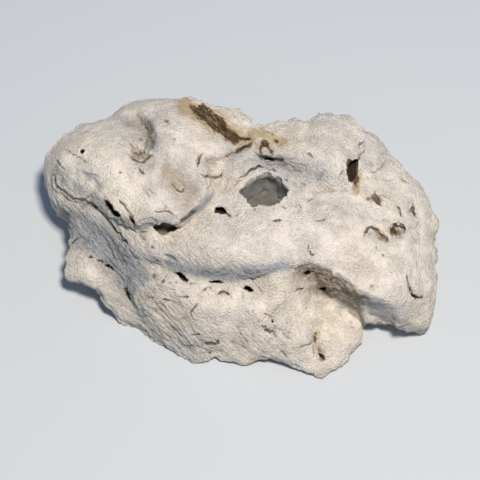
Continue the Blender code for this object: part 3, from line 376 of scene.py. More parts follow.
LOWER_CRACKS = (
    (((-30.2, -23.8), (-28.2, -24.3)), 1.0, 0.4, 0.5),
    (((-27.5, -24.6), (-26, -25.2)), 0.5, 0.3, 0.8),
    (((-37, -22.8), (-36.5, -23.8), (-35.2, -23)), 0.6, 0.3, 0.1),
    (((-24.5, -22.4), (-22, -22.7), (-20.6, -22.7)), 0.7, 0.35, 0.8),
    (((-17.4, -26), (-18.8, -27.5), (-19.4, -29), (-19.2, -30.2)), 0.8, 0.35, 0.6),
    (((-24.8, -31.7), (-22.5, -31.8)), 0.4, 0.3, 0.5),
    (((-18.8, -38), (-16.5, -37.8)), 0.8, 0.35, 0.3),
    (((-14.2, -20), (-13, -19), (-11.5, -19.2)), 1.0, 0.45, 0.9),
    (((-8, -21.2), (-6.6, -20.2), (-4.6, -21.8)), 1.1, 0.5, 0.9),
    (((44, -29), (47, -31), (49, -34)), 0.6, 0.5, 0.2),
    (((3.8, -17), (5.5, -18.8), (7.5, -19.5), (9, -20.8)), 1.0, 0.4, 0.1),
    (((0.5, -21), (1.5, -23)), 0.4, 0.3, 0.1),
    (((10.3, -29.6), (11.3, -30)), 0.7, 0.4, 0.7),
    (((9, -34.5), (10, -35)), 0.9, 0.4, 0.4),
    (((10.5, -36.2), (12, -37.2), (13, -36.4), (14, -37.8), (14.4, -39)), 0.9, 0.45, 0.9),
    (((1.7, -39.3), (2.5, -40.2)), 0.6, 0.35, 0.5),
    (((-1, -34.8), (0, -36), (0.3, -38)), 0.6, 0.35, 0.2),
    (((14, -35), (16, -36.5), (18, -38.5), (19, -39)), 0.9, 0.4, 0.1),
    (((-13.5, -41.3), (-11, -41.8), (-9, -41.4), (-8.8, -40.6)), 1.2, 0.55, 0.1),
    (((0, -42), (2, -43.2)), 0.7, 0.4, 0.1),
    (((8.5, -44), (10, -45.3)), 0.8, 0.4, 0.1),
    (((17, -44.9), (18.5, -46)), 1.0, 0.4, 0.1),
    (((20.2, -21), (21.5, -20.7), (23, -19.8), (25, -19.6)), 1.0, 0.4, 0.8),
    (((41.5, -33.8), (43, -34), (45.5, -35.2)), 0.4, 0.35, 0.7),
    (((47, -36.5), (45.5, -41), (43, -44.5)), 0.4, 0.35, 0.0),
    (((24.5, -42.8), (26, -42), (27.6, -41.6), (28.5, -41)), 0.8, 0.4, 0.1),
    (((29.2, -43.5), (29.6, -45)), 0.6, 0.4, 0.8),
    (((30.4, -36.8), (30.6, -38.5), (29.9, -40), (31, -42), (32, -44.5)), 0.8, 0.6, 1.0),
    (((19.2, -20), (19, -24), (16, -26.5), (14, -28.5)), 0.3, 0.3, 0.0),
    (((-60, -6.7), (-58.8, -7)), 1.0, 0.4, 0.7),
    (((24, -21), (25.5, -26), (29, -31), (33, -35)), 0.3, 0.35, 0.15),
    (((28, -20.5), (28.5, -24.5), (31, -28), (36, -30)), 0.4, 0.35, 0.5),
    (((26, -19.5), (26.6, -24.5), (29.5, -29.5)), 0.3, 0.35, 0.3),
    (((21, -24), (22.5, -29), (26, -34)), 0.3, 0.35, 0.1),
    (((-56.4, -8), (-55, -8.6)), 1.2, 0.45, 0.4),
    (((-45.6, -19.6), (-44.8, -21.6), (-43.8, -23.8)), 1.4, 0.6, 0.6),
)
# Small pits: (across, up, radius, depth, how brown). Those where the belt meets the shelf are in both.
UPPER_PITS = (
    (-3, 34.7, 0.55, 1.1, 0.9), (-5, 33.4, 0.4, 0.6, 0.8), (-34.3, -14.4, 0.75, 1.2, 0.9),
    (-30.6, -16.8, 0.5, 0.8, 0.8), (-28, -17, 0.6, 1.2, 0.5), (-25.6, -17, 0.4, 0.7, 0.6),
    (-19.5, -17.5, 0.4, 0.7, 0.7), (-18, -17.3, 0.35, 0.6, 0.7),
    (51.9, 3.2, 1.0, 0.9, 0.7), (54.2, 3.4, 1.3, 1.2, 0.7), (53, 4.6, 0.7, 0.6, 0.6),
    (57.3, 1.4, 1.2, 1.1, 0.7), (58.7, 0.2, 0.8, 0.8, 0.7), (54.2, 16.6, 1.0, 1.0, 0.8),
    (55.4, 15.4, 0.9, 1.0, 0.8), (61.6, 3.8, 1.3, 1.2, 0.8), (63.6, 3.2, 1.5, 1.4, 0.7),
    (59, 8, 0.9, 0.4, 0.4), (62, 8.5, 0.8, 0.4, 0.4), (56.5, 8, 1.4, 0.5, 0.3), (23.4, 12.6, 0.9, 0.4, 0.3),
    (-38.3, 42.8, 0.6, 1.2, 0.4), (-37, 41.8, 0.5, 0.8, 0.6), (-39.6, 40.4, 0.5, 0.3, 0.8),
    (-40, 35.2, 0.45, 0.8, 0.9), (-48, 27.3, 0.5, 0.7, 0.9), (-29.2, 47.3, 0.8, 0.7, 0.6),
    (-26.2, 40.2, 0.45, 0.5, 0.8), (-23.5, 38, 0.35, 0.4, 0.6), (-31.2, 22, 0.35, 0.6, 0.6),
    (13.8, 27.8, 0.5, 1.4, 0.3), (5.8, 12.2, 0.4, 0.5, 0.6), (-1.2, 10, 0.45, 0.9, 0.6),
    (38.5, 30, 0.45, 0.7, 0.3), (36.5, 28.8, 0.35, 0.4, 0.2), (51.2, 16.5, 0.5, 0.8, 0.9),
    (49.2, 18.2, 0.4, 0.5, 0.7), (68.8, 11.2, 0.7, 1.4, 0.5), (65.6, 5.1, 0.55, 1.0, 0.7),
    (57.7, -6, 0.5, 0.7, 0.8), (54.4, -3, 0.3, 0.3, 0.7), (54, -4.2, 0.3, 0.3, 0.7),
    (52.7, -18.6, 0.6, 1.4, 0.5), (60.5, -13, 0.3, 0.3, 0.5), (-59.5, 2.2, 0.4, 0.7, 0.2),
    (-44.5, 0.3, 0.45, 0.8, 0.1), (-42, -4.2, 0.35, 0.6, 0.1), (-34.8, -0.5, 0.35, 0.6, 0.2),
    (-35, -3, 0.35, 0.5, 0.8), (52.6, 9, 0.3, 0.3, 0.6), (-12, 37, 0.3, 0.3, 0.2), (37, 43, 0.3, 0.3, 0.2),
)
LOWER_PITS = (
    (-40, -12.7, 0.4, 0.6, 0.4), (-34.3, -14.4, 0.75, 1.2, 0.9), (-28, -17, 0.6, 1.2, 0.2),
    (-30.6, -16.8, 0.5, 0.7, 0.8), (-25.6, -17, 0.4, 0.6, 0.6), (-19.5, -17.5, 0.4, 0.6, 0.7),
    (-18, -17.3, 0.35, 0.5, 0.7), (4.8, -28.3, 0.4, 0.6, 0.7), (7.6, -32.7, 0.45, 0.6, 0.6),
    (5.3, -38.3, 0.5, 0.6, 0.8), (-3, -41.4, 0.45, 0.8, 0.3), (20.2, -18.8, 0.45, 0.8, 0.7),
    (21, -17.5, 0.45, 0.7, 0.7), (26.5, -12.8, 0.9, 1.4, 0.5), (29.6, -10.8, 0.8, 1.2, 0.4),
    (31, -14.2, 0.8, 1.2, 0.6), (36.5, -16, 0.6, 0.8, 0.7), (39, -19.5, 0.6, 0.8, 0.7),
    (40.5, -21, 0.5, 0.6, 0.7), (31, -21.8, 0.45, 0.7, 0.6), (25.6, -44.7, 0.5, 1.0, 0.3),
    (51, -27.8, 0.4, 0.6, 0.2),
)

# Colour laid on the face, stains and painted light and shade: (path, reach, strength).
# Along the stained groove these are real dark stain; in pits, slots, bores and cracks they are near-black
# painted shade.
DARK_STAINS_AND_SHADE = (
    (((-18.6, 53), (-14, 50.9)), 1.5, 0.75),
    (((-16, 51.6), (-11.5, 48.8), (-7.5, 45.2)), 2.6, 0.95),
    (((-8, 45.2), (-4.5, 42.2), (-2, 40.8)), 2.1, 0.95),
    (((-2, 40.6), (3.6, 40.3)), 0.7, 0.85),
    (((9.2, 38.8), (10.6, 38.2)), 1.0, 1.0),
    (((11.4, 42.8), (12.6, 42)), 0.6, 0.6),
    (((14.4, 39.8), (15.4, 39.2)), 0.6, 0.6),
    (((8.2, 37), (9.4, 38.4)), 0.5, 0.7),
    (((61, 4.4), (62.4, 2.4)), 0.9, 0.6),
    (((31.5, -45.4), (32.6, -48)), 1.1, 0.34),
    (((30.4, -37), (29.9, -40.4)), 0.7, 0.5),
    (((46.9, 24), (46.4, 22.4)), 1.2, 0.55),
    (((44, 31.4), (43.4, 28), (44.6, 24.4)), 1.1, 1.0),
    (((-0.8, 35.4), (1, 36.8), (3.6, 37.8)), 0.6, 0.75),
    (((-5.4, -20.6), (-5.8, -22)), 0.8, 0.25),
    (((-45.6, -19.8), (-44.8, -21.6), (-43.9, -23.6)), 0.7, 0.9),
    (((-60, -6.7), (-58.8, -7)), 0.45, 0.8),
    (((-56.6, -8), (-55, -8.6)), 0.5, 0.9),
)
BROWN_STAINS = (
    (((-22, 54), (-17, 51), (-12, 47.5), (-6, 44), (-2, 41.5), (3, 40.2)), 4.0, 0.95),
    (((-13, 53), (-9, 50), (-4, 46.5), (0, 43.5), (5, 42.5)), 2.6, 0.55),
    (((5, 43), (9, 43), (12, 41.5), (14.5, 40), (18, 38.7)), 2.6, 0.75),
    (((7.5, 37), (9.5, 39), (13, 36)), 1.6, 0.9),
    (((9.6, 43.8), (13.4, 41.5)), 1.0, 1.0),
    (((13.4, 40.4), (16.6, 38.6)), 0.9, 1.0),
    (((-52, -11), (-49, -16), (-46, -22)), 2.0, 0.36),
    (((-41, 36), (-38, 33)), 2.6, 0.5),
    (((-44, 47), (-39, 44), (-36, 40)), 3.0, 0.4),
    (((-30, 28), (-24, 23), (-20, 18)), 5.0, 0.52),
    (((-47.5, 28), (-46, 30.5)), 0.9, 0.5),
    (((46.8, 24), (46.2, 19.2)), 1.7, 1.0),
    (((48, 28), (48, 25)), 1.0, 0.7),
    (((-33, 49.3), (-32, 48.6)), 1.2, 0.3),
    (((-14.5, 26), (-9, 25.5)), 0.8, 0.5),
    (((1.5, 23), (7, 25)), 1.0, 0.4),
    (((54, 3.5), (62, 3.5), (68, 5)), 1.6, 0.4),
    (((54, 16.5), (56, 14.5)), 1.2, 0.5),
    (((69.8, 12.5), (70.6, 11)), 0.9, 0.45),
    (((23, 13.5), (24.4, 11.6)), 1.0, 0.35),
    (((67, -15), (69, -21)), 1.0, 0.4),
    (((26, -13), (36, -16.5), (47, -23)), 3.4, 0.6),
    (((28, -19), (33, -21)), 2.0, 0.45),
    (((31, -18.5), (38, -21.5), (46, -25.5)), 2.6, 0.45),
    (((28, -24), (32, -27)), 1.8, 0.3),
    (((31, -37), (31, -41), (33, -47)), 1.8, 0.6),
    (((34, -38), (40, -40)), 3.2, 0.25),
    (((12, -37), (14, -38.5)), 2.0, 0.35),
    (((-7, -21.5), (-5, -22)), 1.6, 0.35),
    (((-30, -16.8), (-18, -17.2), (-10, -18.5)), 0.7, 0.35),
    (((-35, -14), (-34, -14.8)), 1.1, 0.5),
)
# Cream patches: partly clean stone, partly painted light where the surface lies in shade, as on the cave
# floor.
CREAM_AND_LIGHT_STAINS = (
    (((-68, 34), (-60, 33), (-54, 26), (-46, 18)), 9.0, 0.65),
    (((-72, 16), (-66, 12), (-60, 9)), 3.5, 0.9),
    (((-61, 23.4), (-58.5, 22.6)), 2.0, 0.9),
    (((62, -33), (74, -35.2)), 0.9, 0.8),
    (((58, -25.6), (61, -26)), 0.7, 1.0),
    (((-6, 50), (0, 46), (5, 42.5), (12, 41)), 4.5, 1.0),
    (((-13, 22), (-5, 23)), 4.0, 0.8),
    (((-40, 35), (-43, 32)), 6.0, 0.5),
    (((55, 26), (60, 15), (62, 4), (56, -4)), 9.0, 0.55),
    (((42, -3), (46, -5)), 4.0, 0.6),
    (((24, -26), (34, -28), (46, -29), (40, -38)), 7.0, 1.1),
    (((-16, -21), (-4, -23), (6, -26)), 5.0, 0.9),
    (((28, 2), (22, 10)), 6.0, 0.25),
    (((-65, -8), (-56, -14)), 6.0, 0.5),
    (((-52, 14), (-48, 8)), 3.0, 0.4),
    (((-40, -1), (-30, 0)), 4.0, 0.3),
    (((8, -40), (4, -35)), 5.0, 0.4),
)
# Mostly painted shade on walls and undersides that turn from the light, with some grey tone of the stone.
SHADE_AND_GREY_STAINS = (
    (((-30, 29), (-22, 24), (-19, 19)), 6.0, 0.46),
    (((-46, 48), (-41, 45), (-37, 41)), 3.8, 0.62),
    (((-37, 47.5), (-35.2, 44), (-34.8, 40), (-35.4, 37)), 1.7, 1.0),
    (((12, 32.5), (17, 31), (24, 29), (32, 26.5)), 4.4, 0.66),
    (((17, 29), (21, 25), (24, 22)), 3.0, 0.4),
    (((55, -25), (60, -29.5), (64, -33)), 1.6, 0.78),
    (((-4, 35), (4, 32), (10, 35)), 3.5, 0.39),
    (((-73, 29), (-70.5, 24.5), (-65.5, 20.5), (-59, 18)), 1.9, 0.62),
    (((-62, 26.5), (-58, 25.5), (-56, 21.5)), 1.0, 0.62),
    (((52, 38), (56, 33)), 4.0, 0.39),
    (((-67, 8), (-65, 2), (-60, -1), (-54, -5), (-48, -12), (-44.5, -19)), 5.2, 1.0),
    (((-64, 9), (-54, 2), (-46, -6), (-40, -14)), 4.4, 1.0),
    (((-44, -3), (-36, -8), (-30, -10)), 2.4, 0.47),
    (((-28, -9), (-20, -12.5), (-10, -14), (0, -13.6), (10, -12), (18, -10)), 2.7, 1.0),
    (((-22.5, 8), (-18, 11.5), (-14, 14.5), (-11.5, 17.5)), 1.5, 1.0),
    (((-29, 29), (-21, 25), (-19, 20)), 3.2, 0.5),
    (((-58, 15), (-50, 9), (-40, 5), (-34, 8), (-26, 8.5)), 1.8, 0.47),
    (((50, -25), (58, -29), (64, -32)), 4.0, 0.7),
    (((33, -19.5), (40, -22.5), (47, -27)), 2.4, 0.7),
    (((66, -34.5), (73, -35)), 1.2, 0.55),
    (((-40, -30), (-30, -38), (-20, -45)), 3.0, 0.2),
)
# Fibrous flow of the stone: (path, reach, strength). Its grain runs down to the right.
STREAKS = (
    (((-72, 24), (-62, 17)), 5.0, 0.5),
    (((-26, 24), (-20, 20)), 6.0, 0.8),
    (((-66, 12), (-50, -4), (-36, -24), (-20, -40)), 13.0, 1.0),
    (((-30, -2), (-5, -12), (5, -14)), 6.0, 0.6),
    (((8, 32), (22, 27), (36, 24)), 7.0, 0.6),
    (((0, -40), (20, -42)), 7.0, 0.5),
)

# Stretches of the outline that have no knobs: (path, reach, strength).
SMOOTH_RIMS = (
    (((-78, 24), (-73, 34), (-64, 41), (-48, 49), (-30, 54)), 7.0, 0.9),
)

# Stretches whose wall is netted with small pits, darkened partly by painted shade: (path, reach, strength).
NETTED = (
    (((25.5, -12.5), (31, -13.5), (36, -16.5), (42, -20), (48, -24)), 3.0, 1.0),
    (((-42, 33.5), (-37.5, 32.5)), 2.2, 0.7),
    (((-37.4, 47.4), (-35.6, 44), (-35, 41), (-35.4, 38)), 1.6, 1.3),
    (((32, -18.6), (39, -21.6), (47, -26)), 2.9, 0.85),
)

# The fine skin: each wave is (length, height, seed of its noise).
SKIN_ROUNDS = 1  # rounds of softening before the fine relief is cut
ROUGH_WAVES = ((5.5, 0.6, 55), (2.6, 0.38, 26), (1.5, 0.2, 15))
STREAK_ROUGHER = 1.1  # how much rougher the fibrous stretches are
STREAK_WAVES = ((3.0, 1.8, 35), (1.5, 1.3, 20))
STREAK_AXIS, STREAK_STRETCH = (0.62, -0.62, -0.48), 4.0
STREAK_MEAN = 0.17
RIM_WAVES = ((8.0, 2.6, 56), (3.6, 2.2, 25))  # knobs along the outline
RIM_MEAN = 0.25
NET_WAVE, NET_HEIGHT = 2.3, 1.3
CRUMB_WAVE, CRUMB_HEIGHT = 1.2, 1.3
CRUMBLED_STAINS = 3  # the first of the dark stains lie on a crumbled bed
PORE_WAVE, PORE_DEPTH, PORE_SPAN = 0.95, 0.45, (0.3, 0.5)
PATCH_WAVE, PATCH_SPAN = 11.0, (-0.1, 0.35)  # the patches that hold the pores
CALM_INSIDE = 0.8  # how much smoother the insides of the pockets are
CALM_BEHIND, CALM_WAVE = 0.6, 2.0  # how much of the finer relief than this wave is missing behind
NOISE_SLOPES = 256
NET_SEED, PATCH_SEED, PORE_SEED, CRUMB_SEED = 57, 13, 71, 91
RELIEF_SEED, DIRT_SEED, WOBBLE_SEEDS = 3, 23, (31, 47)

# Cracks and pits.
WOBBLE, WOBBLE_WAVE = 0.9, 2.6  # how far, and how often, a crack strays from its path
CRACK_WAVE, CRACK_MEAN, CRACK_UNEVEN = 2.4, 0.75, 1.6  # a crack is deeper here and shallower there
DEEPEST, LEAST_DIRT = 1.2, 0.35
CRACK_HALO = 2.2  # the distance to a crack is kept this far away from it
FAR_FROM_CRACKS = 20.0
LINE_FADE = (4.5, 2.0)  # half widths over which a crack's line fades in towards it
PLAIN_DEPTH, PLAIN_POWER = 1.1, 1.5  # a crack this deep is as dark as any
PIT_WIDER = 1.6
RELIEF_STEEPNESS, DIRT_STEEPNESS = 3, 2  # how steeply a pit, or the dirt in it, ends

# How squarely the surface faces the viewer where each thing starts and where it is full.
RELIEF_SEEN, PAINT_SEEN, STAIN_SEEN = (0.0, 0.3), (-0.15, 0.2), (-0.5, -0.25)
RIM_SEEN, BEHIND_SEEN = (0.15, 0.55), (0.0, -0.3)

# Which points belong to a top surface or to a pocket.
SURFACE_NEAR, SURFACE_FAR = 2.5, 5.0  # a point this near a top surface takes its cracks and stains
STAIN_LEEWAY = 2.0  # stains reach this many times further from a top surface than cracks do
FADED_OUT = 2.6  # a stroke is left out beyond this many times its reach
MOUTH_MARGIN = 2.0
POCKET_WIDER = 1.12  # a pocket's walls are looked for a little outside its mouth
SHADED_DEPTH = 6.0  # pockets shallower than this are lit to their end
BEYOND_POCKET = 2.0  # a point this much deeper than a pocket is on the rock's other side
# The marks inside the bores are brown stain and painted shade; inside the eye they are painted shade.
BORE_DEEP, EYE_DEEP = 5.0, 24.0  # the depths at which the marks inside reach their full strength
# How the hollows are found for their painted shade: rounds of smoothing, and the depth over which the shade
# grows.
HOLLOW_ROUNDS, HOLLOW_RANGE = 12, 0.9

# The stone's noises: (wave length, detail, roughness).
CLOUDS, BLOTCHES, CLUMPS = (26.0, 4.0, 0.55), (7.0, 4.0, 0.6), (3.2, 3.0, 0.65)
FRECKLES, GRIT, PALE_SKIN = (1.6, 3.0, 0.6), (0.8, 2.0, 0.6), (0.8, 3.0, 0.65)
CELL_SIZE = 2.3  # cells of the netted wall
FLOW_TURN, FLOW_ALONG, FLOW_OVER = 0.7, 0.24, 1.15  # fibres run down to the right, long and thin
FIBRES = {"Scale": 1.0, "Detail": 4.0, "Roughness": 0.65, "Distortion": 0.4}
BUMP_REACH = 1.5
# Which of a node's outputs is used.
OBJECT_PLACE, ATTRIBUTE_NUMBER, MIXED_COLOUR = 3, 2, 2

# The stage.
FLOOR_REACH, FLOOR_ROUGHNESS = 1.5, 0.9
KEY_TOWARDS = (0.13, -0.26, 1.0)
KEY_AWAY = 1.0
KEY_SIZE = 0.15
KEY_COLOUR = (1.0, 0.95, 0.87)
FILL_COLOUR = (0.42, 0.68, 1.0, 1.0)
ROCK_MIDDLE = 0.03
SENSOR = 36.0
NEAREST_SIGHT = 0.01


def place(across, up, height):
    """Points of the leaning plane, moved along their sight lines to a height above the surface."""
    on_plane = PLANE_MIDDLE + np.multiply.outer(across, ACROSS) + np.multiply.outer(up, UP)
    along = (height - VIEWPOINT[2]) / (on_plane[..., 2] - VIEWPOINT[2])
    return VIEWPOINT + along[..., None] * (on_plane - VIEWPOINT)


def layout_of(points):
    """Where points of the rock lie on the leaning plane: across and up."""
    ray = points - VIEWPOINT
    scale = -SIGHT_LINE / (ray @ OUT)
    on_plane = ray * scale[:, None] + VIEWPOINT - PLANE_MIDDLE
    return on_plane @ ACROSS, on_plane @ UP


def facing_viewer(points, normals):
    """How squarely the surface faces the viewer, from -1 to 1."""
    to_viewer = VIEWPOINT - points
    return np.sum(normals * to_viewer, axis=1) / np.linalg.norm(to_viewer, axis=1)


def smooth_step(low, high, value):
    """0 up to low, 1 from high on, and smooth in between."""
    share = np.clip((value - low) / (high - low), 0, 1)
    return share * share * (3 - 2 * share)


def thin_plate(spots):
    """A smooth height function of (across, up) that passes through the spots."""
    spots = np.array(spots, float)
    where, heights = spots[:, :2], spots[:, 2]

    def bend(distance):
        return distance**2 * np.log(np.maximum(distance, 1e-9))

    apart = np.linalg.norm(where[:, None] - where[None], axis=2)
    flat = np.hstack([np.ones((len(spots), 1)), where])
    system = np.block([[bend(apart), flat], [flat.T, np.zeros((3, 3))]])
    weights = np.linalg.solve(system, np.concatenate([heights, np.zeros(3)]))

    def height_at(across, up):
        here = np.stack([across, up], axis=-1)
        away = np.linalg.norm(here[:, None] - where[None], axis=2)
        return bend(away) @ weights[:-3] + weights[-3] + here @ weights[-2:]

    return height_at


def closed_curve(points, per_span):
    """A closed Catmull-Rom curve through the points."""
    points = np.array(points, float)
    before, after, beyond = (np.roll(points, shift, axis=0) for shift in (1, -1, -2))
    t = (np.arange(per_span) / per_span)[None, :, None]
    p0, p1, p2, p3 = (p[:, None] for p in (before, points, after, beyond))
    curve = 0.5 * (2 * p1 + (p2 - p0) * t + (2 * p0 - 5 * p1 + 4 * p2 - p3) * t**2
                   + (3 * p1 - p0 - 3 * p2 + p3) * t**3)
    return curve.reshape(-1, points.shape[1])


def nearest_on_path(path, across, up):
    """Signed distance to a path, positive on its left, and how far a place lies beyond its ends."""
    nearest = np.full(across.shape, np.inf)
    signed = np.zeros(across.shape)
    beyond = np.zeros(across.shape)
    last = len(path) - 2
    for index, (start, end) in enumerate(zip(path, path[1:])):
        step = np.subtract(end, start)
        length = np.linalg.norm(step)
        ahead = ((across - start[0]) * step[0] + (up - start[1]) * step[1]) / length
        aside = ((up - start[1]) * step[0] - (across - start[0]) * step[1]) / length
        outside = np.maximum(0, np.maximum(-ahead, ahead - length))
        distance = np.hypot(aside, outside)
        closer = distance < nearest
        nearest[closer] = distance[closer]
        signed[closer] = (np.sign(aside) * distance)[closer]
        past_end = ((index == 0) & (ahead < 0)) | ((index == last) & (ahead > length))
        beyond[closer] = np.where(past_end, outside, 0)[closer]
    return signed, beyond


def close_to_path(path, across, up, margin):
    """Which places lie within the margin of the box around the path."""
    low, high = np.min(path, axis=0) - margin, np.max(path, axis=0) + margin
    return np.flatnonzero((across > low[0]) & (across < high[0]) & (up > low[1]) & (up < high[1]))


def strongest(strokes, across, up):
    """The strongest stroke at each place. A stroke is a path, its reach and its strength."""
    mask = np.zeros(across.shape)
    for path, reach, strength in strokes:
        close = close_to_path(path, across, up, FADED_OUT * reach)
        signed, _ = nearest_on_path(path, across[close], up[close])
        mask[close] = np.maximum(mask[close], strength * np.exp(-(signed / reach) ** 2))
    return mask


def carve(height, across, up, strokes, ledges):
    """Adds strokes and ledges to a height."""
    for path, rise, reach in strokes:
        signed, _ = nearest_on_path(path, across, up)
        height = height + rise * np.exp(-(signed / reach) ** 2)
    for path, drop, lip, back, recover in ledges:
        signed, beyond = nearest_on_path(path, across, up)
        fade = np.exp(-(beyond / LEDGE_FADE) ** 2)
        width = max(abs(drop + lip) / STEEPEST, NARROWEST_WALL)
        raised = lip * np.exp(-np.maximum(signed, 0) / back)
        fallen = -drop * np.exp(np.minimum(signed + width, 0) / recover)
        blend = np.clip(-signed / width, 0, 1)
        height = height + fade * (raised * (1 - blend) + fallen * blend)
    return height


def top_surface(spots, strokes, ledges):
    """The height of a top surface, as a function of (across, up)."""
    plate = thin_plate(spots)

    def height_at(across, up):
        return carve(plate(across, up), across, up, strokes, ledges)

    return height_at


def read_points(mesh):
    """The mesh's vertices, in millimetres."""
    points = np.empty(len(mesh.vertices) * 3)
    mesh.vertices.foreach_get("co", points)
    return points.reshape(-1, 3) / METRE


def write_points(mesh, points):
    """Moves the mesh's vertices to the points."""
    mesh.vertices.foreach_set("co", (np.round(points, DECIMALS) * METRE).ravel())
    mesh.update()


def read_normals(mesh):
    """Which way the surface faces at each vertex."""
    normals = np.empty(len(mesh.vertices) * 3)
    mesh.vertices.foreach_get("normal", normals)
    return normals.reshape(-1, 3)


def put_in_scene(name, data):
    """A new object of the scene that holds the mesh, light or camera."""
    made = bpy.data.objects.new(name, data)
    bpy.context.scene.collection.objects.link(made)
    return made


def finish_mesh(shape, name):
    """Turns the shape that was worked on into a mesh."""
    mesh = bpy.data.meshes.new(name)
    shape.to_mesh(mesh)
    shape.free()
    return mesh


def lump(name, middle, edge, crown, under):
    """A closed lump: crown is its top surface, edge its outline, and under says how it closes below."""
    base, squareness = under
    shape = bmesh.new()
    bmesh.ops.create_icosphere(shape, subdivisions=LUMP_FINENESS, radius=1.0)
    mesh = finish_mesh(shape, name)
    ball = read_points(mesh) * METRE

    curve = closed_curve(edge, EDGE_POINTS_PER_SPAN)
    offset = curve[:, :2] - middle
    curve_angle = np.arctan2(offset[:, 1], offset[:, 0])
    order = np.argsort(curve_angle)
    angle = np.arctan2(ball[:, 1], ball[:, 0])
    share = np.minimum(np.hypot(ball[:, 0], ball[:, 1]), 1.0)

    def around(values):
        return np.interp(angle, curve_angle[order], values[order], period=2 * math.pi)

    reach, radius = around(np.linalg.norm(offset, axis=1)), around(curve[:, 2])
    across = middle[0] + share * reach * np.cos(angle)
    up = middle[1] + share * reach * np.sin(angle)
    into_edge = np.clip(1 - (1 - share) * reach / radius, 0, 1)
    drop = radius * OUT[2] * (1 - np.sqrt(1 - into_edge**2))
    top = place(across, up, crown(across, up) - drop)

    rim_across, rim_up = middle[0] + reach * np.cos(angle), middle[1] + reach * np.sin(angle)
    rim_height = crown(rim_across, rim_up) - radius * OUT[2]
    rim = place(rim_across, rim_up, rim_height)
    core = place(np.array([middle[0]]), np.array([middle[1]]), np.array([base + CORE_RISE]))[0]
    inward = share ** (2 / squareness)
    sunk = np.abs(ball[:, 2]) ** (2 / squareness)
    bottom = core + (rim - core) * inward[:, None]
    bottom[:, 2] = base + (rim_height - base) * (1 - sunk)

    write_points(mesh, np.where(ball[:, 2:] >= 0, top, bottom))
    return put_in_scene(name, mesh)


def pocket(height_at, mouth, depth, into, belly):
    """A closed cutter that runs from above its mouth down into the rock and swells by belly on its way."""
    across, up = closed_curve(mouth, MOUTH_POINTS_PER_SPAN).T
    rim = place(across, up, height_at(across, up))
    mouth_middle = rim.mean(axis=0)
    into = np.array(into) / np.linalg.norm(into)
    shape = bmesh.new()
    rings = []
    for level, size, bulge in POCKET_RINGS:
        ring = rim + into * depth * level
        ragged = np.array([noise.noise(Vector(point) / POCKET_RAGGED_WAVE) for point in ring])
        size = (size + bulge * belly) * (1 + POCKET_RAGGED * ragged[:, None])
        ring = mouth_middle + (rim - mouth_middle) * size + into * depth * level
        rings.append([shape.verts.new(point * METRE) for point in ring])
    for upper_ring, lower_ring in zip(rings, rings[1:]):
        for i, vertex in enumerate(upper_ring):
            shape.faces.new((upper_ring[i - 1], vertex, lower_ring[i], lower_ring[i - 1]))
    shape.faces.new(rings[0])
    shape.faces.new(rings[-1])
    bmesh.ops.recalc_face_normals(shape, faces=shape.faces)
    return put_in_scene("pocket", finish_mesh(shape, "pocket"))


def join(name, parts):
    """One object that holds the meshes of all the parts."""
    shape = bmesh.new()
    for part in parts:
        shape.from_mesh(part.data)
        bpy.data.objects.remove(part)
    return put_in_scene(name, finish_mesh(shape, name))


def apply_modifier(rock, kind, **settings):
    """Replaces the object's mesh by what a modifier with those settings makes of it."""
    modifier = rock.modifiers.new(kind, kind)
    for name, value in settings.items():
        setattr(modifier, name, value)
    bpy.context.view_layer.update()
    graph = bpy.context.evaluated_depsgraph_get()
    made = bpy.data.meshes.new_from_object(rock.evaluated_get(graph))
    rock.modifiers.clear()
    rock.data = made


def keep_outer_skin(rock):
    """Drops every small closed skin inside the rock, so that it is solid all through."""
    shape = bmesh.new()
    shape.from_mesh(rock.data)
    left = set(shape.verts)
    skins = []
    while left:
        skin = [left.pop()]
        for vertex in skin:
            for edge in vertex.link_edges:
                other = edge.other_vert(vertex)
                if other in left:
                    left.remove(other)
                    skin.append(other)
        skins.append(skin)
    skins.sort(key=len)
    for skin in skins[:-1]:
        bmesh.ops.delete(shape, geom=skin, context="VERTS")
    shape.to_mesh(rock.data)
    shape.free()


def fuse(rock, grain, rounds):
    """Fuses everything in the object into one even skin, solid all through, and softens it."""
    apply_modifier(rock, "REMESH", mode="VOXEL", voxel_size=grain * METRE)
    keep_outer_skin(rock)
    apply_modifier(rock, "SMOOTH", iterations=rounds)


def cut(rock, cutters):
    """Takes the cutters out of the rock."""
    tool = join("cutter", cutters)
    apply_modifier(rock, "BOOLEAN", operation="DIFFERENCE", solver="EXACT", object=tool)
    bpy.data.objects.remove(tool)


def thin_out(rock, most):
    """Merges the small triangles where the surface is plain."""
    triangles = sum(len(face.vertices) - 2 for face in rock.data.polygons)
    apply_modifier(rock, "DECIMATE", ratio=min(1.0, most / triangles), use_collapse_triangulate=True)


def weather(rock):
    """Uneven swells all over, faint on the face and strong on the back and the underside."""
    points, normals = read_points(rock.data), read_normals(rock.data)
    hidden = smooth_step(HIDDEN_STARTS, HIDDEN_ENDS, facing_viewer(points, normals))
    swell = np.zeros(len(points))
    for wave, seen, unseen in SWELLS:
        offset = Vector((wave, 2.0 * wave, -wave))
        value = np.array([noise.noise(Vector(point) / wave + offset) for point in points])
        swell += value * (seen + (unseen - seen) * hidden)
    for spot, radius, depth in BACK_DENTS:
        away = np.linalg.norm(points - spot, axis=1)
        swell -= depth * hidden * np.exp(-(away / radius) ** 2)
    write_points(rock.data, points + normals * swell[:, None])


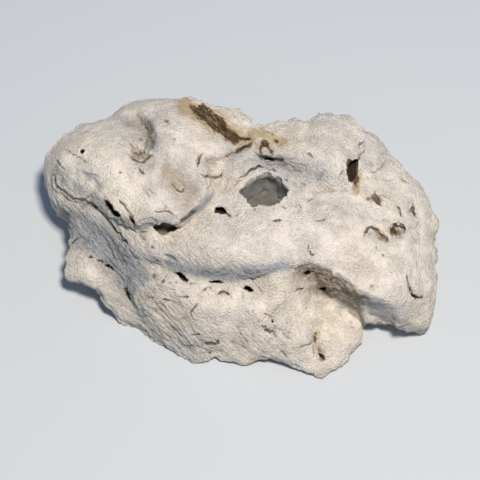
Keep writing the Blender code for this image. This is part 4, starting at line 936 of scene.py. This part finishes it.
def rough_rock(upper, lower):
    """The rock's main form, with its pockets."""
    rock = join("rock_skin", [
        lump("left", LEFT_MIDDLE, LEFT_EDGE, upper, LEFT_UNDER),
        lump("wing", WING_MIDDLE, WING_EDGE, upper, WING_UNDER),
        lump("apron", APRON_MIDDLE, APRON_EDGE, lower, APRON_UNDER),
        lump("foot", FOOT_MIDDLE, FOOT_EDGE, lower, FOOT_UNDER),
    ])
    fuse(rock, COARSE_GRAIN, COARSE_ROUNDS)
    weather(rock)
    cutters = [pocket(upper, *shape) for shape in (EYE_POCKET, *UPPER_BORES, WING_PIT)]
    cut(rock, cutters + [pocket(lower, *shape) for shape in LOWER_BORES])
    return rock


def stand(rock):
    """Cuts the underside flat at the surface that the rock lies on."""
    shape = bmesh.new()
    shape.from_mesh(rock.data)
    everything = shape.verts[:] + shape.edges[:] + shape.faces[:]
    cut_edges = bmesh.ops.bisect_plane(shape, geom=everything, dist=PLANE_TOLERANCE, plane_co=(0, 0, 0),
                                       plane_no=(0, 0, -1), clear_outer=True)["geom_cut"]
    edges = [item for item in cut_edges if isinstance(item, bmesh.types.BMEdge)]
    bmesh.ops.triangle_fill(shape, edges=edges, use_beauty=True, normal=(0, 0, -1))
    bmesh.ops.dissolve_degenerate(shape, edges=shape.edges[:], dist=SLIVER)
    bmesh.ops.triangulate(shape, faces=shape.faces[:])
    shape.to_mesh(rock.data)
    shape.free()


def centre(rock):
    """Moves the rock to the middle of the floor and returns how far it went, across and back."""
    points = read_points(rock.data)
    middle = (points.min(axis=0) + points.max(axis=0)) / 2
    write_points(rock.data, points - (middle[0], middle[1], 0))
    return [float(-middle[0]), float(-middle[1])]


def grain_noise(points, wave, seed, stretch=None):
    """Smooth noise at the points, about -0.7 to 0.7.

    stretch is the axis along which its waves are longer, and how many times longer they are.
    """
    random = np.random.default_rng(seed)
    slopes = random.normal(size=(NOISE_SLOPES, 3))
    slopes /= np.linalg.norm(slopes, axis=1)[:, None]
    shuffled = random.permutation(NOISE_SLOPES)
    places = points / wave
    if stretch is not None:
        axis, times = np.array(stretch[0]), stretch[1]
        axis = axis / np.linalg.norm(axis)
        places = places - np.outer(places @ axis, axis) * (1 - 1 / times)
    cell = np.floor(places).astype(np.int64)
    inner = places - cell
    ease = inner**3 * (inner * (inner * 6 - 15) + 10)
    total = np.zeros(len(points))
    for corner in np.ndindex(2, 2, 2):
        key = np.zeros(len(points), dtype=np.int64)
        for axis in range(3):
            key = shuffled[(key + cell[:, axis] + corner[axis]) % NOISE_SLOPES]
        share = np.prod(np.where(corner, ease, 1 - ease), axis=1)
        total += share * np.sum(slopes[key] * (inner - corner), axis=1)
    return total


def where_any(share, function, *values):
    """The share times the function of the values, which is worked out only where the share isn't 0."""
    result = np.zeros(len(share))
    chosen = share > 0
    result[chosen] = share[chosen] * function(*(value[chosen] for value in values))
    return result


def nearness(height_at, leeway=1.0):
    """A function that is 1 where a point lies on that top surface, and 0 well away from it."""
    def near(heights, across, up):
        away = np.abs(heights - height_at(across, up)) / leeway
        return smooth_step(SURFACE_FAR, SURFACE_NEAR, away)

    return near


def marks_at(cracks, pits, steepness, across, up):
    """The strongest mark at each place. Cracks are strokes, and a pit is (across, up, radius, strength)."""
    mask = strongest(cracks, across, up)
    for pit_across, pit_up, radius, strength in pits:
        away = np.hypot(across - pit_across, up - pit_up) / (radius * PIT_WIDER)
        mask = np.maximum(mask, strength * np.exp(-away**steepness))
    return mask


def relief_of(cracks, pits, across, up):
    """How deep the cracks and the pits are at each place."""
    return marks_at([(path, half_width, deep) for path, deep, half_width, _ in cracks],
                    [(*spot, deep) for *spot, deep, _ in pits], RELIEF_STEEPNESS, across, up)


def dirt_in(cracks, pits, across, up):
    """Brown dirt that has settled in the cracks and the pits, from 0 to 1."""
    return marks_at([(path, half_width, brown) for path, _, half_width, brown in cracks],
                    [(*spot, brown) for *spot, _, brown in pits], DIRT_STEEPNESS, across, up)


class Skin:
    """The points of the skin, where they lie in the layout, and which top surface each belongs to."""

    def __init__(self, mesh, upper, lower, seen):
        self.points, self.normals = read_points(mesh), read_normals(mesh)
        self.across, self.up = layout_of(self.points)
        self.facing = facing_viewer(self.points, self.normals)
        self.seen = smooth_step(*seen, self.facing)
        self.on_upper = self.near(upper, self.seen)
        self.on_lower = self.near(lower, self.seen) * (1 - self.on_upper)
        # The layout is pushed about a little for the cracks, so that none runs dead straight.
        self.bent = [along + WOBBLE * self.noise(WOBBLE_WAVE, seed)
                     for along, seed in zip((self.across, self.up), WOBBLE_SEEDS)]

    def noise(self, wave, seed, stretch=None):
        """Smooth noise at the points."""
        return grain_noise(self.points, wave, seed, stretch)

    def near(self, height_at, share, leeway=1.0):
        """The share, where a point lies near that top surface."""
        return where_any(share, nearness(height_at, leeway), self.points[:, 2], self.across, self.up)

    def laid(self, strokes):
        """The strongest stroke at each point, where it faces the viewer."""
        return self.seen * strongest(strokes, self.across, self.up)

    def marks(self, function, seed):
        """What the function makes of each point's own cracks and pits, and how even they are there."""
        total = np.zeros(len(self.points))
        for share, cracks, pits in ((self.on_upper, UPPER_CRACKS, UPPER_PITS),
                                    (self.on_lower, LOWER_CRACKS, LOWER_PITS)):
            total += where_any(share, functools.partial(function, cracks, pits), *self.bent)
        return total, CRACK_MEAN + CRACK_UNEVEN * self.noise(CRACK_WAVE, seed)

    def inside(self, pockets, height_at, deep):
        """How deep points lie inside the pockets, 1 at the given depth, and 0 outside them."""
        depth = np.zeros(len(self.points))
        for mouth, far, *_ in pockets:
            close = close_to_path(mouth, self.across, self.up, MOUTH_MARGIN)
            close = close[within(mouth, self.across[close], self.up[close])]
            below = height_at(self.across[close], self.up[close]) - self.points[close, 2]
            below[below > far + BEYOND_POCKET] = 0.0
            depth[close] = np.maximum(depth[close], below / deep * min(1.0, far / SHADED_DEPTH) ** 2)
        return depth


def within(mouth, across, up):
    """Whether places lie inside the mouth of a pocket, taken a little wider than it is."""
    curve = closed_curve(mouth, MOUTH_POINTS_PER_SPAN)
    curve = curve.mean(axis=0) + (curve - curve.mean(axis=0)) * POCKET_WIDER
    inside = np.zeros(across.shape, dtype=bool)
    for start, end in zip(curve, np.roll(curve, -1, axis=0)):
        if start[1] != end[1]:
            beside = (end[0] - start[0]) * (up - start[1]) / (end[1] - start[1]) + start[0]
            inside ^= ((start[1] > up) != (end[1] > up)) & (across < beside)
    return inside


def chisel(rock, upper, lower):
    """Cracks, pits, streaks and pores in the fine skin."""
    skin = Skin(rock.data, upper, lower, RELIEF_SEEN)
    cut_in, evenness = skin.marks(relief_of, RELIEF_SEED)
    cut_in *= np.clip(evenness, 0, DEEPEST)

    rough = np.zeros(len(skin.points))
    calm = 1 - CALM_BEHIND * smooth_step(*BEHIND_SEEN, skin.facing)
    flow = skin.laid(STREAKS)
    for wave, height, seed in ROUGH_WAVES:
        finer = calm * (1 + STREAK_ROUGHER * flow) if wave < CALM_WAVE else 1
        rough += height * finer * skin.noise(wave, seed)
    rough += NET_HEIGHT * skin.laid(NETTED) * skin.noise(NET_WAVE, NET_SEED)
    rim = 1 - smooth_step(*RIM_SEEN, np.abs(skin.facing))
    rim *= 1 - strongest(SMOOTH_RIMS, skin.across, skin.up)
    for wave, height, seed in RIM_WAVES:
        rough += rim * height * (RIM_MEAN - np.abs(skin.noise(wave, seed)))
    rough *= 1 - CALM_INSIDE * (skin.seen * (1 - np.maximum(skin.on_upper, skin.on_lower)))
    for wave, height, seed in STREAK_WAVES:
        fibres = skin.noise(wave, seed, (STREAK_AXIS, STREAK_STRETCH))
        rough += flow * height * (STREAK_MEAN - np.abs(fibres))
    patches = smooth_step(*PATCH_SPAN, skin.noise(PATCH_WAVE, PATCH_SEED))
    rough -= PORE_DEPTH * patches * smooth_step(*PORE_SPAN, skin.noise(PORE_WAVE, PORE_SEED))
    crumbled = strongest(DARK_STAINS_AND_SHADE[:CRUMBLED_STAINS], skin.across, skin.up)
    rough += CRUMB_HEIGHT * skin.seen * crumbled * skin.noise(CRUMB_WAVE, CRUMB_SEED)
    write_points(rock.data, skin.points + skin.normals * (rough - cut_in)[:, None])


def nearest_crack(cracks, across, up):
    """Signed distance to the nearest crack, in that crack's half widths, and how plain the crack is."""
    signed = np.full(across.shape, FAR_FROM_CRACKS)
    plainness = np.zeros(across.shape)
    for path, deep, half_width, _ in cracks:
        close = close_to_path(path, across, up, CRACK_HALO)
        aside, _ = nearest_on_path(path, across[close], up[close])
        aside /= half_width
        nearer = np.abs(aside) < np.abs(signed[close])
        signed[close[nearer]] = aside[nearer]
        plainness[close[nearer]] = min(1.0, (deep / PLAIN_DEPTH) ** PLAIN_POWER)
    return signed, plainness


def hollowness(mesh, points):
    """How far each vertex lies below the middle of its wider surroundings, in millimetres."""
    edges = np.empty(len(mesh.edges) * 2, dtype=np.int64)
    mesh.edges.foreach_get("vertices", edges)
    first, second = edges.reshape(-1, 2).T
    count = np.bincount(first, minlength=len(points)) + np.bincount(second, minlength=len(points))
    smoothed = points.copy()
    for _ in range(HOLLOW_ROUNDS):
        gathered = np.zeros_like(smoothed)
        for axis in range(3):
            gathered[:, axis] = np.bincount(first, smoothed[second, axis], minlength=len(points))
            gathered[:, axis] += np.bincount(second, smoothed[first, axis], minlength=len(points))
        smoothed = 0.5 * smoothed + 0.5 * gathered / count[:, None]
    return np.sum((smoothed - points) * read_normals(mesh), axis=1)


def paint(rock, upper, lower):
    """Stains, dirt, cleaner patches and where light and shade are painted, as one number each for every
    vertex.
    """
    mesh = rock.data
    skin = Skin(mesh, upper, lower, PAINT_SEEN)
    dirt, evenness = skin.marks(dirt_in, DIRT_SEED)
    bore = skin.inside(UPPER_BORES, upper, BORE_DEEP)
    lower_bore = skin.inside(LOWER_BORES, lower, BORE_DEEP)

    stained = (np.maximum(bore, lower_bore) > 0).astype(float)
    not_behind = smooth_step(*STAIN_SEEN, skin.facing)
    for surface in (upper, lower):
        stained = np.maximum(stained, skin.near(surface, not_behind, STAIN_LEEWAY))

    line, plainness = np.full(len(skin.points), FAR_FROM_CRACKS), np.zeros(len(skin.points))
    for cracks, chosen in ((LOWER_CRACKS, skin.on_lower > 0), (UPPER_CRACKS, skin.on_upper > 0)):
        line[chosen], plainness[chosen] = nearest_crack(cracks, *(along[chosen] for along in skin.bent))

    masks = {
        "dirt": dirt * np.clip(evenness, LEAST_DIRT, 1),
        # Dark stain along the groove, and near-black painted shade in pits, slots and bores.
        "dark_stain_and_shade": stained * strongest(DARK_STAINS_AND_SHADE, skin.across, skin.up),
        "brown": stained * strongest(BROWN_STAINS, skin.across, skin.up),
        # Where the cream patches and the painted light are laid.
        "cream_and_painted_light": skin.laid(CREAM_AND_LIGHT_STAINS),
        # Where the grey tone and the painted shade are laid.
        "grey_and_shade": skin.laid(SHADE_AND_GREY_STAINS),
        "streak": skin.laid(STREAKS),
        # The netted walls, whose colour is partly painted shade.
        "net_and_shade": skin.laid(NETTED),
        # Painted shade, darker where a vertex lies below its surroundings.
        "hollow_shade": 0.5 + hollowness(mesh, skin.points) / HOLLOW_RANGE,
        # How deep a vertex lies in the eye, for its painted shade.
        "eye_shade": skin.inside((EYE_POCKET,), upper, EYE_DEEP),
        "bore": bore,
        "lower_bore": lower_bore,
        "near_line": skin.seen * plainness * smooth_step(*LINE_FADE, np.abs(line)),
    }
    values = {name: np.clip(mask, 0, 1) for name, mask in masks.items()}
    values.update(line=line, across=skin.across, up=skin.up)
    for name, value in values.items():
        layer = mesh.attributes.new(name, "FLOAT", "POINT")
        layer.data.foreach_set("value", value.astype(np.float32))


class Link:
    """A socket in a shader. Arithmetic on it adds nodes."""

    def __init__(self, tree, socket):
        self.tree = tree
        self.socket = socket

    def node(self, kind, settings, sockets, output=0):
        """Adds a node. settings are set first; sockets are values or links."""
        node = self.tree.nodes.new(kind)
        for name, value in settings.items():
            setattr(node, name, value)
        for key, value in sockets.items():
            if isinstance(value, Link):
                self.tree.links.new(value.socket, node.inputs[key])
            else:
                node.inputs[key].default_value = value
        return Link(self.tree, node.outputs[output])

    def maths(self, operation, *values):
        """Adds a node that works out one operation."""
        return self.node("ShaderNodeMath", {"operation": operation}, dict(enumerate(values)))

    def __add__(self, other):
        return self.maths("ADD", self, other)

    __radd__ = __add__

    def __sub__(self, other):
        return self.maths("SUBTRACT", self, other)

    def __rsub__(self, other):
        return self.maths("SUBTRACT", other, self)

    def __mul__(self, other):
        return self.maths("MULTIPLY", self, other)

    __rmul__ = __mul__

    def __abs__(self):
        return self.maths("ABSOLUTE", self)

    def between(self, low, high):
        """0 at low, 1 at high, and smooth in between."""
        return self.node("ShaderNodeMapRange", {"interpolation_type": "SMOOTHSTEP"},
                         {0: self, 1: low, 2: high, 3: 0.0, 4: 1.0})

    def mix(self, first, second, blend="MIX"):
        """The two colours mixed, with this link as the share of the second."""
        return self.node("ShaderNodeMix", {"data_type": "RGBA", "blend_type": blend},
                         {0: self, 6: first, 7: second}, MIXED_COLOUR)

    def link_to(self, socket):
        """Feeds a socket of a shader from this one."""
        self.tree.links.new(self.socket, socket)


class Pattern:
    """The noises that the stone's markings share, each from about 0 to 1, and the masks on the skin."""

    def __init__(self, tree):
        self.place = Link(tree, tree.nodes.new("ShaderNodeTexCoord").outputs[OBJECT_PLACE])
        self.clouds, self.blotches, self.clumps = (self.noise(*wave) for wave in (CLOUDS, BLOTCHES, CLUMPS))
        self.freckles, self.grit = self.noise(*FRECKLES), self.noise(*GRIT)
        self.ragged = (self.blotches - 0.5) * 0.5 + (self.freckles - 0.5) * 0.5
        self.pale_skin = (self.noise(*PALE_SKIN) - 0.5) * (self.blotches.between(0.35, 0.65) * 0.6 + 0.6)
        across, up = self.mask("across"), self.mask("up")
        flowing = self.place.node("ShaderNodeCombineXYZ", {}, {0: (across - up) * FLOW_TURN * FLOW_ALONG,
                                                               1: (across + up) * FLOW_TURN * FLOW_OVER})
        self.fibres = self.place.node("ShaderNodeTexNoise", {}, {"Vector": flowing, **FIBRES})
        self.cells = self.place.node("ShaderNodeTexVoronoi", {"feature": "DISTANCE_TO_EDGE"},
                                     {"Vector": self.place, "Scale": 1 / (CELL_SIZE * METRE)})

    def noise(self, wave, detail, roughness):
        """Noise from about 0 to 1 whose waves are that many millimetres long."""
        sockets = {"Vector": self.place, "Scale": 1 / (wave * METRE), "Detail": detail,
                   "Roughness": roughness}
        return self.place.node("ShaderNodeTexNoise", {}, sockets)

    def mask(self, name):
        """The number that is stored under a name for each point of the skin."""
        return self.place.node("ShaderNodeAttribute", {"attribute_name": name}, {}, ATTRIBUTE_NUMBER)


def clean_stone(pattern, looks):
    """Clouds, cream patches partly of painted light, grey ones mostly of painted shade, pale skin and fine
    specks.
    """
    # Grey patches: mostly painted shade on walls turned from the light, with grey clouds and fibres of the
    # stone.
    grey_and_shade = (pattern.mask("grey_and_shade") * 0.85 + (0.5 - pattern.clouds).between(0.06, 0.2) * 0.08
            + (0.5 - pattern.fibres).between(0.0, 0.14) * pattern.mask("streak") * 0.5)
    specks = (pattern.freckles.between(0.64, 0.74) * 0.12
              + (0.5 - pattern.grit).between(0.0, 0.14) * 0.13)
    colour = pattern.clouds.between(0.42, 0.66).mix(looks.stone, looks.warm)
    # Cream patches, partly painted light.
    colour = (pattern.mask("cream_and_painted_light") * 0.75).mix(colour, looks.cream_and_painted_light)
    colour = grey_and_shade.mix(colour, looks.grey_and_shade)
    colour = (pattern.pale_skin.between(-0.08, 0.08) * 0.19).mix(colour, looks.cream_and_painted_light, "SCREEN")
    return specks.mix(colour, looks.brown)


def stains(pattern, looks, colour):
    """Tan stains, painted shade in the hollows, the netted wall, dirt, and near-black cores of stain and
    shade.
    """
    mask, ragged, clumps, fibres = pattern.mask, pattern.ragged, pattern.clumps, pattern.fibres
    tan = (mask("brown") + ragged * 0.7 + (fibres - 0.5) * 1.2).between(0.2, 0.75) * 0.72
    colour = (tan * mask("brown").between(0.02, 0.2)).mix(colour, looks.tan)
    # Painted shade in the hollows.
    colour = ((mask("hollow_shade") + ragged * 0.15).between(0.56, 0.85) * 0.5).mix(colour, looks.hollow_shade)
    # The netted wall: dark cells, partly real pitting and partly painted shade.
    netted = mask("net_and_shade") * (pattern.cells.between(0.04, 0.2) * 0.4 + 0.38) * (clumps - 0.25).between(0, 0.3)
    colour = netted.mix(colour, looks.net_and_shade)
    colour = ((mask("dirt") + ragged * 0.35).between(0.12, 0.6) * 0.74).mix(colour, looks.brown)

    # Near-black cores: real stain along the groove, painted shade in pits, slots and bores.
    flecks = (clumps * 0.5 + pattern.grit * 0.5 + (fibres - 0.5) * 0.5).between(0.52, 0.68) * 0.45
    umber = flecks.mix(fibres.between(0.42, 0.6).mix(looks.dark_stain_and_shade, looks.brown), looks.tan)
    core = (mask("dark_stain_and_shade") + (clumps - 0.5) * 1.7 + (fibres - 0.5) * 1.1).between(0.22, 0.42)
    return (core * mask("dark_stain_and_shade").between(0.02, 0.2) * 0.97).mix(colour, umber)


def crack_lines(pattern):
    """1 in the middle of the cracks, with a ragged edge."""
    width = (pattern.freckles - 0.2) * 1.7
    away = abs(pattern.mask("line")) - width
    return (1 - away.between(0.0, 0.7)) * pattern.mask("near_line")


def dark_openings(pattern, looks, colour, line, eye_shade):
    """The shade in the cracks, in the bores and in the eye."""
    crack_colour = pattern.mask("dirt").between(0.1, 0.6).mix(looks.crack, looks.brown)
    colour = (line * (pattern.clumps.between(0.35, 0.6) * 0.5 + 0.35)).mix(colour, crack_colour)
    bore = pattern.mask("bore") + pattern.mask("lower_bore")
    colour = ((bore + pattern.ragged * 0.05).between(0.04, 0.3) * 0.8).mix(colour, looks.brown)
    # Near-black painted shade deep in the bores.
    colour = ((bore + pattern.ragged * 0.8).between(0.45, 0.95) * 0.85).mix(colour, looks.dark_stain_and_shade)
    # Painted shade inside the eye: grey on its walls, near-black deeper down.
    colour = (eye_shade.between(0.02, 0.2) * 0.85).mix(colour, looks.inside)
    return (eye_shade.between(0.45, 0.85) * 0.55).mix(colour, looks.crack)


def new_material(name, roughness):
    """A material with that roughness, and its shader."""
    material = bpy.data.materials.new(name)
    material.use_nodes = True
    shader = material.node_tree.nodes["Principled BSDF"]
    shader.inputs["Roughness"].default_value = roughness
    return material, shader


def chalky_limestone(looks):
    """Cream-white limestone with clouds, stains and dirt, painted light and shade, and a fine matt grain.
    """
    material, shader = new_material("chalky_limestone", looks.roughness)
    pattern = Pattern(material.node_tree)
    line, eye_shade = crack_lines(pattern), pattern.mask("eye_shade")
    colour = stains(pattern, looks, clean_stone(pattern, looks))
    dark_openings(pattern, looks, colour, line, eye_shade).link_to(shader.inputs["Base Color"])

    fibrous = (pattern.fibres - 0.5) * pattern.mask("streak")
    height = (pattern.pale_skin * 1.15 + fibrous * 1.9 - line * 0.35) * (1 - eye_shade.between(0.0, 0.1))
    bump = pattern.place.node("ShaderNodeBump", {}, {"Strength": 1.0, "Distance": BUMP_REACH * METRE,
                                                     "Height": height})
    bump.link_to(shader.inputs["Normal"])
    shader.inputs["Specular IOR Level"].default_value = looks.sheen
    return material


def pale_floor(looks):
    """A plain matt floor."""
    material, shader = new_material("pale_floor", FLOOR_ROUGHNESS)
    shader.inputs["Base Color"].default_value = looks.floor
    return material


def colour_property(name, description, default):
    """A colour that the panel shows."""
    return bpy.props.FloatVectorProperty(name=name, description=description, default=default, size=4,
                                         subtype="COLOR", min=0.0, max=1.0)


class RockSizes(bpy.types.PropertyGroup):
    """How finely the rock is made."""

    grain: bpy.props.FloatProperty(
        name="Skin grain", description="Size of the fine skin's squares in millimetres",
        default=0.42, min=0.3, max=2.0)
    triangles: bpy.props.IntProperty(
        name="Most triangles", description="The skin is thinned out to this many triangles",
        default=190000, min=20000, max=199000)


class StoneLooks(bpy.types.PropertyGroup):
    """The colours and the gloss of the stone."""

    stone: colour_property("Stone", "Most of the surface", (0.745, 0.655, 0.575, 1))
    warm: colour_property("Warm cloud", "Warmer clouds in the stone", (0.71, 0.605, 0.5, 1))
    # Cream that is partly the clean stone and partly painted light.
    cream_and_painted_light: colour_property("Cream patch", "Clean, bright patches", (0.89, 0.785, 0.655, 1))
    # Bluish grey that mostly paints shade on walls turned from the light.
    grey_and_shade: colour_property("Grey patch", "Cool, worn patches", (0.27, 0.295, 0.335, 1))
    # Painted shade in the hollows.
    hollow_shade: colour_property("Hollow", "Dust in the hollows", (0.48, 0.41, 0.32, 1))
    # Grey painted shade on the walls inside the eye.
    inside: colour_property("Inside", "The walls inside the eye", (0.22, 0.22, 0.22, 1))
    # Dark brown of the netted walls, partly painted shade.
    net_and_shade: colour_property("Netted wall", "The pitted wall of the cave", (0.17, 0.125, 0.085, 1))
    crack: colour_property("Crack", "The shade in clean cracks", (0.08, 0.072, 0.066, 1))
    tan: colour_property("Tan stain", "Faint stains", (0.5, 0.325, 0.145, 1))
    brown: colour_property("Brown dirt", "Dirt in cracks and pits", (0.15, 0.09, 0.045, 1))
    # Near-black of the darkest stains, also used as painted shade in pits, slots and bores.
    dark_stain_and_shade: colour_property("Dark stain", "The darkest stains", (0.035, 0.02, 0.01, 1))
    roughness: bpy.props.FloatProperty(
        name="Roughness", description="How matt the stone is", default=0.92, min=0, max=1, subtype="FACTOR")
    sheen: bpy.props.FloatProperty(
        name="Specular", description="How much the stone reflects", default=0.25, min=0, max=1,
        subtype="FACTOR")


class StageLooks(bpy.types.PropertyGroup):
    """The floor, the light and the camera."""

    floor: colour_property("Floor", "Colour of the floor", (0.5, 0.51, 0.53, 1))
    key_power: bpy.props.FloatProperty(
        name="Key power", description="Power of the soft main light", default=13.2, min=0, unit="POWER")
    fill: bpy.props.FloatProperty(
        name="Fill", description="Strength of the light from all round", default=0.31, min=0)
    view_width: bpy.props.FloatProperty(
        name="View width", description="Width of the view at the rock", default=0.192, min=0.01,
        unit="LENGTH")


class ROCK_OT_rock(bpy.types.Operator):
    """Makes the carved and weathered rock"""

    bl_idname = "holey_rock.rock"
    bl_label = "Make the rock"

    def execute(self, context):
        sizes = context.scene.rock_sizes
        upper = top_surface(UPPER_SPOTS, UPPER_STROKES, UPPER_LEDGES)
        lower = top_surface(LOWER_SPOTS, LOWER_STROKES, LOWER_LEDGES)
        rock = rough_rock(upper, lower)
        fuse(rock, sizes.grain, SKIN_ROUNDS)
        chisel(rock, upper, lower)
        thin_out(rock, sizes.triangles)
        paint(rock, upper, lower)
        stand(rock)
        context.scene["layout_shift"] = centre(rock)
        rock.data.materials.clear()
        rock.data.materials.append(chalky_limestone(context.scene.stone_looks))
        rock.data.shade_smooth()
        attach(rock, "root")
        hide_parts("rock")
        return {"FINISHED"}


class ROCK_OT_stage(bpy.types.Operator):
    """Makes the floor, the lights and the camera"""

    bl_idname = "holey_rock.stage"
    bl_label = "Make the stage"

    def execute(self, context):
        looks = context.scene.stage_looks
        scene = context.scene
        shape = bmesh.new()
        bmesh.ops.create_grid(shape, x_segments=1, y_segments=1, size=FLOOR_REACH)
        floor = put_in_scene("floor", finish_mesh(shape, "floor"))
        floor.data.materials.append(pale_floor(looks))

        key = bpy.data.lights.new("key", "AREA")
        key.size = KEY_SIZE
        key.energy = looks.key_power
        key.color = KEY_COLOUR
        lamp = put_in_scene("key", key)
        towards = Vector(KEY_TOWARDS).normalized()
        lamp.location = Vector((0, 0, ROCK_MIDDLE)) + towards * KEY_AWAY
        lamp.rotation_mode = "QUATERNION"
        lamp.rotation_quaternion = towards.to_track_quat("Z", "Y")

        world = bpy.data.worlds.new("soft room")
        world.use_nodes = True
        background = world.node_tree.nodes["Background"]
        background.inputs["Color"].default_value = FILL_COLOUR
        background.inputs["Strength"].default_value = looks.fill
        scene.world = world
        scene.view_settings.view_transform = "Standard"

        camera = bpy.data.cameras.new("camera")
        camera.sensor_width = SENSOR
        camera.lens = SENSOR * SIGHT_LINE * METRE / looks.view_width
        camera.clip_start = NEAREST_SIGHT
        viewer = put_in_scene("camera", camera)
        shift = Vector((*scene["layout_shift"], 0)) * METRE
        viewer.location = Vector(VIEWPOINT * METRE) + shift
        viewer.rotation_mode = "QUATERNION"
        viewer.rotation_quaternion = Vector(OUT).to_track_quat("Z", "Y")
        scene.camera = viewer
        return {"FINISHED"}


class ROCK_PT_panel(bpy.types.Panel):
    """The rock's pieces, sizes and colours"""

    bl_label = "Holey rock"
    bl_idname = "ROCK_PT_panel"
    bl_space_type = "VIEW_3D"
    bl_region_type = "UI"
    bl_category = "Holey rock"

    def draw(self, context):
        for group in (context.scene.rock_sizes, context.scene.stone_looks, context.scene.stage_looks):
            box = self.layout.box()
            for name in group.__annotations__:
                box.prop(group, name)
        self.layout.operator(ROCK_OT_rock.bl_idname)
        self.layout.operator(ROCK_OT_stage.bl_idname)


CLASSES = (RockSizes, StoneLooks, StageLooks, ROCK_OT_rock, ROCK_OT_stage, ROCK_PT_panel)


def register():
    for item in CLASSES:
        bpy.utils.register_class(item)
    bpy.types.Scene.rock_sizes = bpy.props.PointerProperty(type=RockSizes)
    bpy.types.Scene.stone_looks = bpy.props.PointerProperty(type=StoneLooks)
    bpy.types.Scene.stage_looks = bpy.props.PointerProperty(type=StageLooks)


def unregister():
    del bpy.types.Scene.stage_looks
    del bpy.types.Scene.stone_looks
    del bpy.types.Scene.rock_sizes
    for item in reversed(CLASSES):
        bpy.utils.unregister_class(item)


def main():
    register()
    bpy.ops.holey_rock.rock()
    bpy.ops.holey_rock.stage()
    bpy.context.view_layer.update()


if __name__ == "__main__":
    main()
